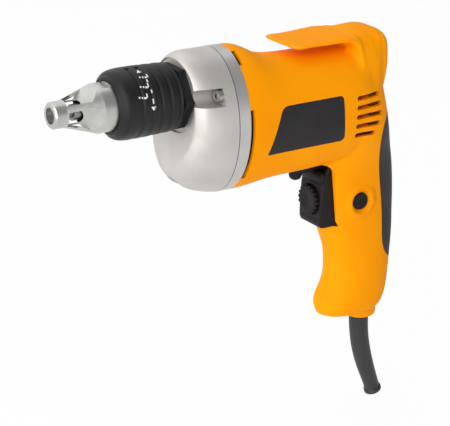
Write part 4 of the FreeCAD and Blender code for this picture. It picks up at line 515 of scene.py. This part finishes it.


# Springs: drawn steel wire wound in coils behind the clutch, the trigger and the lock button; each
# sits against its anchor. Each coil is a copy of its CAD node with a mesh of its own.
PLUNGER_Z = -92.3
BUTTON_X, BUTTON_Z = 233.2, -94.0
for name, joint, axis, anchor, keep in (
    ("clutch_spring", "clutch_push", (1, 0, 0), (107.5, 0, 0), 0.68),
    ("trigger_spring", "trigger_pull", (1, 0, 0), (226.0, 0, PLUNGER_Z), 0.04),
    ("lock_spring", "lock_push", (0, 1, 0), (BUTTON_X, -10.1, BUTTON_Z), 0.38),
):
    coil = piece(f"{name}_coil", merged(name), spring_steel, "tool", "spring_steel", name)
    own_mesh(coil)


# Painted shade: sheets of the same near-black card, set upright inside the barrel behind the rear
# vents, one on each side. They hide the motor and paint the shade inside the vents.
def bar(low, high, rounding):
    """A bar between two corners, in millimetres, with rounded edges."""
    shape = bmesh.new()
    bmesh.ops.create_cube(shape, size=MM)
    bmesh.ops.scale(shape, verts=shape.verts, vec=Vector(high) - Vector(low))
    bmesh.ops.translate(shape, verts=shape.verts, vec=(Vector(high) + Vector(low)) / 2 * MM)
    bmesh.ops.bevel(shape, geom=shape.edges[:], offset=rounding * MM, offset_type="OFFSET",
                    segments=4, profile=0.5, affect="EDGES", material=-1)
    return shape


left_vent_shade = bar((214.8, -11.6, -45.0), (239.0, -11.0, -8.0), rounding=0.2)
right_vent_shade = bar((214.8, 11.0, -45.0), (239.0, 11.6, -8.0), rounding=0.2)
piece("vent_shade_sheets", joined(left_vent_shade, right_vent_shade), card, "tool", "black_nylon")


# Housing: two halves moulded in amber glass-filled nylon with a fine mould texture, meeting on a
# seam along the tool's middle that shows as a thin line. The hook's root flows into the barrel.
ON_SEAM, SEAM_WELD = 0.001, 0.06


def welded(*names):
    """One shell from CAD halves: the faces where they meet go and their edges are joined."""
    shape = merged(*names)
    on_seam = {point for point in shape.verts if abs(point.co.y) < ON_SEAM * MM}
    meeting = [face for face in shape.faces if all(point in on_seam for point in face.verts)]
    bmesh.ops.delete(shape, geom=meeting, context="FACES")
    seam = [point for point in shape.verts if abs(point.co.y) < ON_SEAM * MM]
    bmesh.ops.remove_doubles(shape, verts=seam, dist=SEAM_WELD * MM)
    return shape


def from_button(x, z):
    """Distance from the lock button's axis."""
    return math.hypot(x - BUTTON_X, z - BUTTON_Z)


amber = moulded("amber glass-filled nylon", "#FFA000", "#FF9B00", roughness=0.55, grain_mm=0.45,
                grain_depth=0.035, shine=0.06)
paint(amber, "left_housing", "right_housing")
LEFT_WALL, SEAM_HALF_WIDTH = -14.0, 0.3
FINE_EDGE, FINE_REACH = 1.3, 15
HOOK_WELL_X, HOOK_WELL_Z, HOOK_WELL_REACH = 236.8, 10.1, 5.0
shell = welded("left_housing", "right_housing")
for side in (-SEAM_HALF_WIDTH, SEAM_HALF_WIDTH):
    bmesh.ops.bisect_plane(shell, geom=shell.verts[:] + shell.edges[:] + shell.faces[:],
                           dist=0.0001 * MM, plane_co=(0, side * MM, 0), plane_no=(0, 1, 0))
# The wall round the button is cut finer, twice, so that its ring comes out round.
for _ in range(2):
    round_button = [
        edge for edge in shell.edges
        if edge.calc_length() > FINE_EDGE * MM and any(
            point.co.y < LEFT_WALL * MM
            and from_button(point.co.x / MM, point.co.z / MM) < FINE_REACH
            for point in edge.verts)
    ]
    bmesh.ops.subdivide_edges(shell, edges=round_button, cuts=1)
housing = piece("housing_shell", shell, amber, "tool", "amber_nylon", "left_housing",
                "right_housing", sharp=35.0)


def button_ring(x, y, z):
    """The soft ring moulded round the lock button."""
    reach = from_button(x, z)
    return rise(reach, 6.7, 8.6) * rise(-reach, -14.0, -9.0) if y < LEFT_WALL else 0.0


def seam_groove(x, y, z):
    """The groove along the seam where the halves meet."""
    return 1.0 if abs(y) < 0.01 and z < 8.0 else 0.0


def hook_fold(x, y, z):
    """The fold between the hook's side and its root, worked over so that the two flow together."""
    along = rise(x, 213.0, 219.0) * rise(-x, -243.0, -236.0)
    return along * rise(z, -4.0, 4.0) * rise(abs(y), 7.0, 11.0)


def hook_root(x, y, z):
    """How far a place on the housing takes part in the blending of the hook's root; the screw well
    in it stays crisp."""
    if math.hypot(x - HOOK_WELL_X, z - HOOK_WELL_Z) < HOOK_WELL_REACH and y > 8.0:
        return 0.0
    return rise(x, 212.0, 224.0) * rise(z, -11.5, -5.0) * rise(abs(y), 0.3, 2.0)


raised(housing, height=-2.2, share_of=button_ring, way="Y")
raised(housing, height=-0.35, share_of=seam_groove)
worked = housing.modifiers.new("worked over", "SMOOTH")
worked.vertex_group = shares(housing, hook_fold)
worked.factor = 0.6
worked.iterations = 40
eased(housing, passes=40, strength=5.0, share_of=hook_root)


# Grip: soft grey thermoplastic rubber moulded over the back of the handle, dull and finely pitted,
# standing a hair proud of the nylon round it.
grip_rubber = moulded("soft grip rubber", "#322D2A", "#2D2926", roughness=0.62, grain_mm=0.7,
                      grain_depth=0.06, shine=0.3)
paint(grip_rubber, "left_grip", "right_grip")
grip_skin = piece("grip_skin", welded("left_grip", "right_grip"), grip_rubber, "tool",
                  "grey_soft_grip", "left_grip", "right_grip", sharp=50.0)


def grip_swell(x, y, z):
    """The grip's outside, away from its edges."""
    return rise(x, 246.0, 262.0) * rise(z, -142.0, -130.0) * rise(-z, 32.0, 46.0)


raised(grip_skin, height=0.25, share_of=grip_swell)


# Name plates: bare dark polycarbonate film, cut to shape and glued into a shallow bed on each side
# of the barrel. A very fine grain on the film keeps its shine soft.
film = moulded("dark polycarbonate film", "#211E20", "#1D1A1C", roughness=0.42, grain_mm=0.35,
               grain_depth=0.015, ior=1.58, shine=0.2)
paint(film, "left_name_plate", "right_name_plate")


# Housing screws: zinc-plated steel heads with a hexagon socket, sunk in round wells on the right
# half; they hold the two halves together.
HEAD_TOP_Y = 13.4
housing_screw = socket_screw(head_radius=3.4, head_height=2.4, socket_radius=1.5, socket_depth=1.5,
                             shank_radius=1.9, shank_length=20.0)
turned(housing_screw, -90, "Z")
housing_screw_places = [(x, HEAD_TOP_Y, z) for x, z in (
    (140.94, 14.66), (151.33, -57.94), (236.8, 10.13), (225.64, -171.27), (246.76, -127.93),
)]
piece("housing_screw_heads", several(housing_screw, housing_screw_places), zinc_plate,
      "tool", "zinc_plated_steel", "housing_screws", sharp=30.0)


# Trigger: dark grey moulded nylon with eased edges, a rounded brow above the speed dial and fine
# ribs for the finger under it. The switch behind it is moulded in the same nylon, which looks dull
# and nearly black.
control_nylon = moulded("dark grey nylon", "#191516", "#151213", roughness=0.5, grain_mm=0.5,
                        grain_depth=0.04, shine=0.2)
paint(control_nylon, "trigger", "speed_dial", "reverse_lever", "lock_button", "switch_body",
      "cord_clamp")
trigger = piece("trigger_body", merged("trigger"), control_nylon, "trigger", "switch_black",
                "trigger")
round_edge = trigger.modifiers.new("eased edges", "BEVEL")
round_edge.width = 0.7 * MM
round_edge.segments = 3
round_edge.limit_method = "ANGLE"
round_edge.angle_limit = math.radians(40)

BROW_HALF_SIZES = (3.9, 5.3, 12.7)
brow = bmesh.new()
bmesh.ops.create_cone(brow, cap_ends=True, segments=40, radius1=1.0, radius2=1.0, depth=2.0)
bmesh.ops.scale(brow, verts=brow.verts, vec=Vector(BROW_HALF_SIZES) * MM)
turned(brow, 90, "X")
turned(brow, -20, "Y")
moved(brow, x=206.0, z=-75.8)
rims = [
    edge for edge in brow.edges if abs(edge.verts[0].co.y - edge.verts[1].co.y) < 0.1 * MM
]
bmesh.ops.bevel(brow, geom=rims, offset=2.2 * MM, offset_type="OFFSET", segments=5, profile=0.5,
                affect="EDGES", material=-1)
finger_ribs = [
    bar((202.3, -9.5, z - 0.4), (202.9, 9.5, z + 0.4), rounding=0.15) for z in (-105.4, -107.0)
]
piece("trigger_brow", joined(brow, *finger_ribs), control_nylon, "trigger", "switch_black")


# Speed dial: a thumb wheel of dark grey nylon on a pin in the trigger, moulded with rounded ribs
# round its edge and a dished face.
DIAL_RIBS, RIB_CIRCLE = 18, 9.55
dial = spun([
    (200.3, 0.0), (200.3, 3.4), (200.1, 4.2), (199.8, 6.4), (199.6, 8.2), (199.7, 9.0),
    (200.1, 9.5), (205.4, 9.5), (205.9, 9.0), (205.9, 0.0),
], steps=72)
rib = spun([
    (199.8, 0.0), (199.7, 0.6), (200.0, 1.05), (200.6, 1.25), (205.0, 1.25), (205.6, 0.9),
    (205.7, 0.0),
], steps=16)
moved(rib, y=RIB_CIRCLE)
bmesh.ops.spin(rib, geom=rib.verts[:] + rib.edges[:] + rib.faces[:], cent=(0, 0, 0),
               axis=(1, 0, 0), angle=math.tau * (DIAL_RIBS - 1) / DIAL_RIBS, steps=DIAL_RIBS - 1,
               use_duplicate=True)
wheel = joined(dial, rib)
moved(wheel, z=PLUNGER_Z)
piece("speed_wheel", wheel, control_nylon, "speed_dial", "switch_black", "speed_dial")


# Reverse lever: a flat arm of dark grey nylon that swings on a pin above the trigger; a round knob
# hangs from its end for the finger.
arm = bar((188.0, -4.6, -70.2), (231.5, 4.6, -65.6), rounding=0.8)
knob = spun([
    (65.6, 0.0), (65.6, 4.2), (66.0, 4.6), (71.6, 4.6), (73.2, 4.3), (74.4, 3.5), (75.2, 2.2),
    (75.5, 0.9), (75.5, 0.0),
], steps=40)
hub = spun([
    (65.6, 0.0), (65.6, 6.6), (66.0, 7.0), (69.8, 7.0), (70.2, 6.6), (70.2, 0.0),
], steps=40)
for shape, x in ((knob, 189.1), (hub, 231.5)):
    turned(shape, 90, "Y")
    moved(shape, x=x)
piece("reverse_arm", joined(arm, knob, hub), control_nylon, "reverse_lever", "switch_black",
      "reverse_lever")


# Lock button: a small dished cap of dark grey nylon in the handle's left side. A flange moulded on
# it stops it at the wall, and its own spring pushes it out.
cap = spun([
    (0.35, 0.0), (0.33, 2.0), (0.2, 3.8), (0.0, 5.0), (0.05, 5.5), (0.3, 5.85), (0.7, 6.0),
    (2.9, 6.0), (2.9, 7.2), (3.1, 7.4), (4.8, 7.4), (4.8, 0.0),
], steps=64)
turned(cap, 90, "Z")
moved(cap, x=BUTTON_X, y=-19.13, z=BUTTON_Z)
piece("lock_cap", cap, control_nylon, "lock_button", "switch_black", "lock_button")


# Cord guard: black moulded rubber with a soft sheen, a tapered bent tube with a rim at its open
# end. A flange inside the handle's foot holds it.
guard_rubber = moulded("moulded guard rubber", "#2A282A", "#252325", roughness=0.5, grain_mm=0.6,
                       grain_depth=0.05)
paint(guard_rubber, "cord_guard")
guard = piece("guard_boot", merged("cord_guard"), guard_rubber, "tool", "guard_rubber",
              "cord_guard", sharp=60.0)


def guard_tail(x, y, z):
    """The guard below the handle."""
    return rise(-z, 191.0, 194.0)


eased(guard, passes=6, strength=0.6, share_of=guard_tail)


# Studio: pale paper under the tool that curves up far off on every side, soft lamps round it, and
# the camera at the photograph's place. The paper looks white and keeps a trace of the shadow.
PAPER_GLOW_SHARE, PAPER_CENTRE_X, PAPER_GAP = 0.94, 0.13, 2 * MM
paper_shape = spun([
    (0, 0), (0, 6000), (60, 6600), (240, 7150), (560, 7600), (1000, 7900), (1600, 8000),
], steps=96)
turned(paper_shape, -90, "Y")
for face in paper_shape.faces:
    face.smooth = True
paper_level = cad_box[0][2] - PAPER_GAP
bmesh.ops.translate(paper_shape, verts=paper_shape.verts, vec=(PAPER_CENTRE_X, 0, paper_level))
floor_data = bpy.data.meshes.new("floor")
paper_shape.to_mesh(floor_data)
paper_shape.free()
floor = bpy.data.objects.new("floor", floor_data)
scene = bpy.context.scene
scene.collection.objects.link(floor)
paper, tree, shader, _ = finish_of("white paper floor")
shader.inputs["Base Color"].default_value = linear("#F4F4F4")
shader.inputs["Roughness"].default_value = 0.9
rays = node(tree, "LightPath")
mirrored = node(tree, "Math", {
    0: rays.outputs["Is Glossy Ray"], 1: rays.outputs["Is Transmission Ray"],
}, operation="MAXIMUM")
seen = node(tree, "Math", {
    0: rays.outputs["Is Camera Ray"], 1: mirrored.outputs["Value"],
}, operation="MAXIMUM")
share = node(tree, "Math", {0: seen.outputs["Value"], 1: PAPER_GLOW_SHARE}, operation="MULTIPLY")
glow = node(tree, "Emission", {"Color": (1, 1, 1, 1), "Strength": 1.0})
mixed = node(tree, "MixShader", {
    0: share.outputs["Value"], 1: shader.outputs["BSDF"], 2: glow.outputs["Emission"],
})
tree.links.new(mixed.outputs["Shader"], tree.nodes["Material Output"].inputs["Surface"])
floor_data.materials.append(paper)

scene.view_settings.view_transform = "Standard"
world = bpy.data.worlds.new("studio")
world.use_nodes = True
scene.world = world
background = world.node_tree.nodes["Background"]
background.inputs["Color"].default_value = (1, 1, 1, 1)
background.inputs["Strength"].default_value = 0.42

# Square lamps: place from the tool's middle in metres, power in watts and width in metres.
centre = Vector((131.466, 0, -89.173)) * MM
for name, offset, power, width in (
    ("key", (-1.4, -0.75, 0.2), 50, 2.6),
    ("top", (-0.2, 0.8, 1.2), 15, 2.4),
):
    lamp = bpy.data.lights.new(name, "AREA")
    lamp.shape = "SQUARE"
    lamp.size = width
    lamp.energy = power
    stand = bpy.data.objects.new(name, lamp)
    scene.collection.objects.link(stand)
    stand.location = centre + Vector(offset)
    stand.rotation_euler = (centre - stand.location).to_track_quat("-Z", "Y").to_euler()
    stand.visible_camera = False

# Camera: angles in radians and distance in metres, fitted to the photograph.
azimuth, elevation, roll, distance = -0.59098, 0.36055, 0.01988, 1.14827
back = Vector((
    math.sin(azimuth) * math.cos(elevation),
    -math.cos(azimuth) * math.cos(elevation),
    math.sin(elevation),
))
level = Vector((math.cos(azimuth), math.sin(azimuth), 0))
upright = back.cross(level)
right = level * math.cos(roll) + upright * math.sin(roll)
up = upright * math.cos(roll) - level * math.sin(roll)
lens = bpy.data.cameras.new("camera")
lens.sensor_width = 36.0
lens.lens = 136.0
lens.clip_end = 50
camera = bpy.data.objects.new("camera", lens)
scene.collection.objects.link(camera)
facing = Matrix((right, up, back)).transposed().to_4x4()
camera.matrix_world = Matrix.Translation(centre + back * distance) @ facing
scene.camera = camera
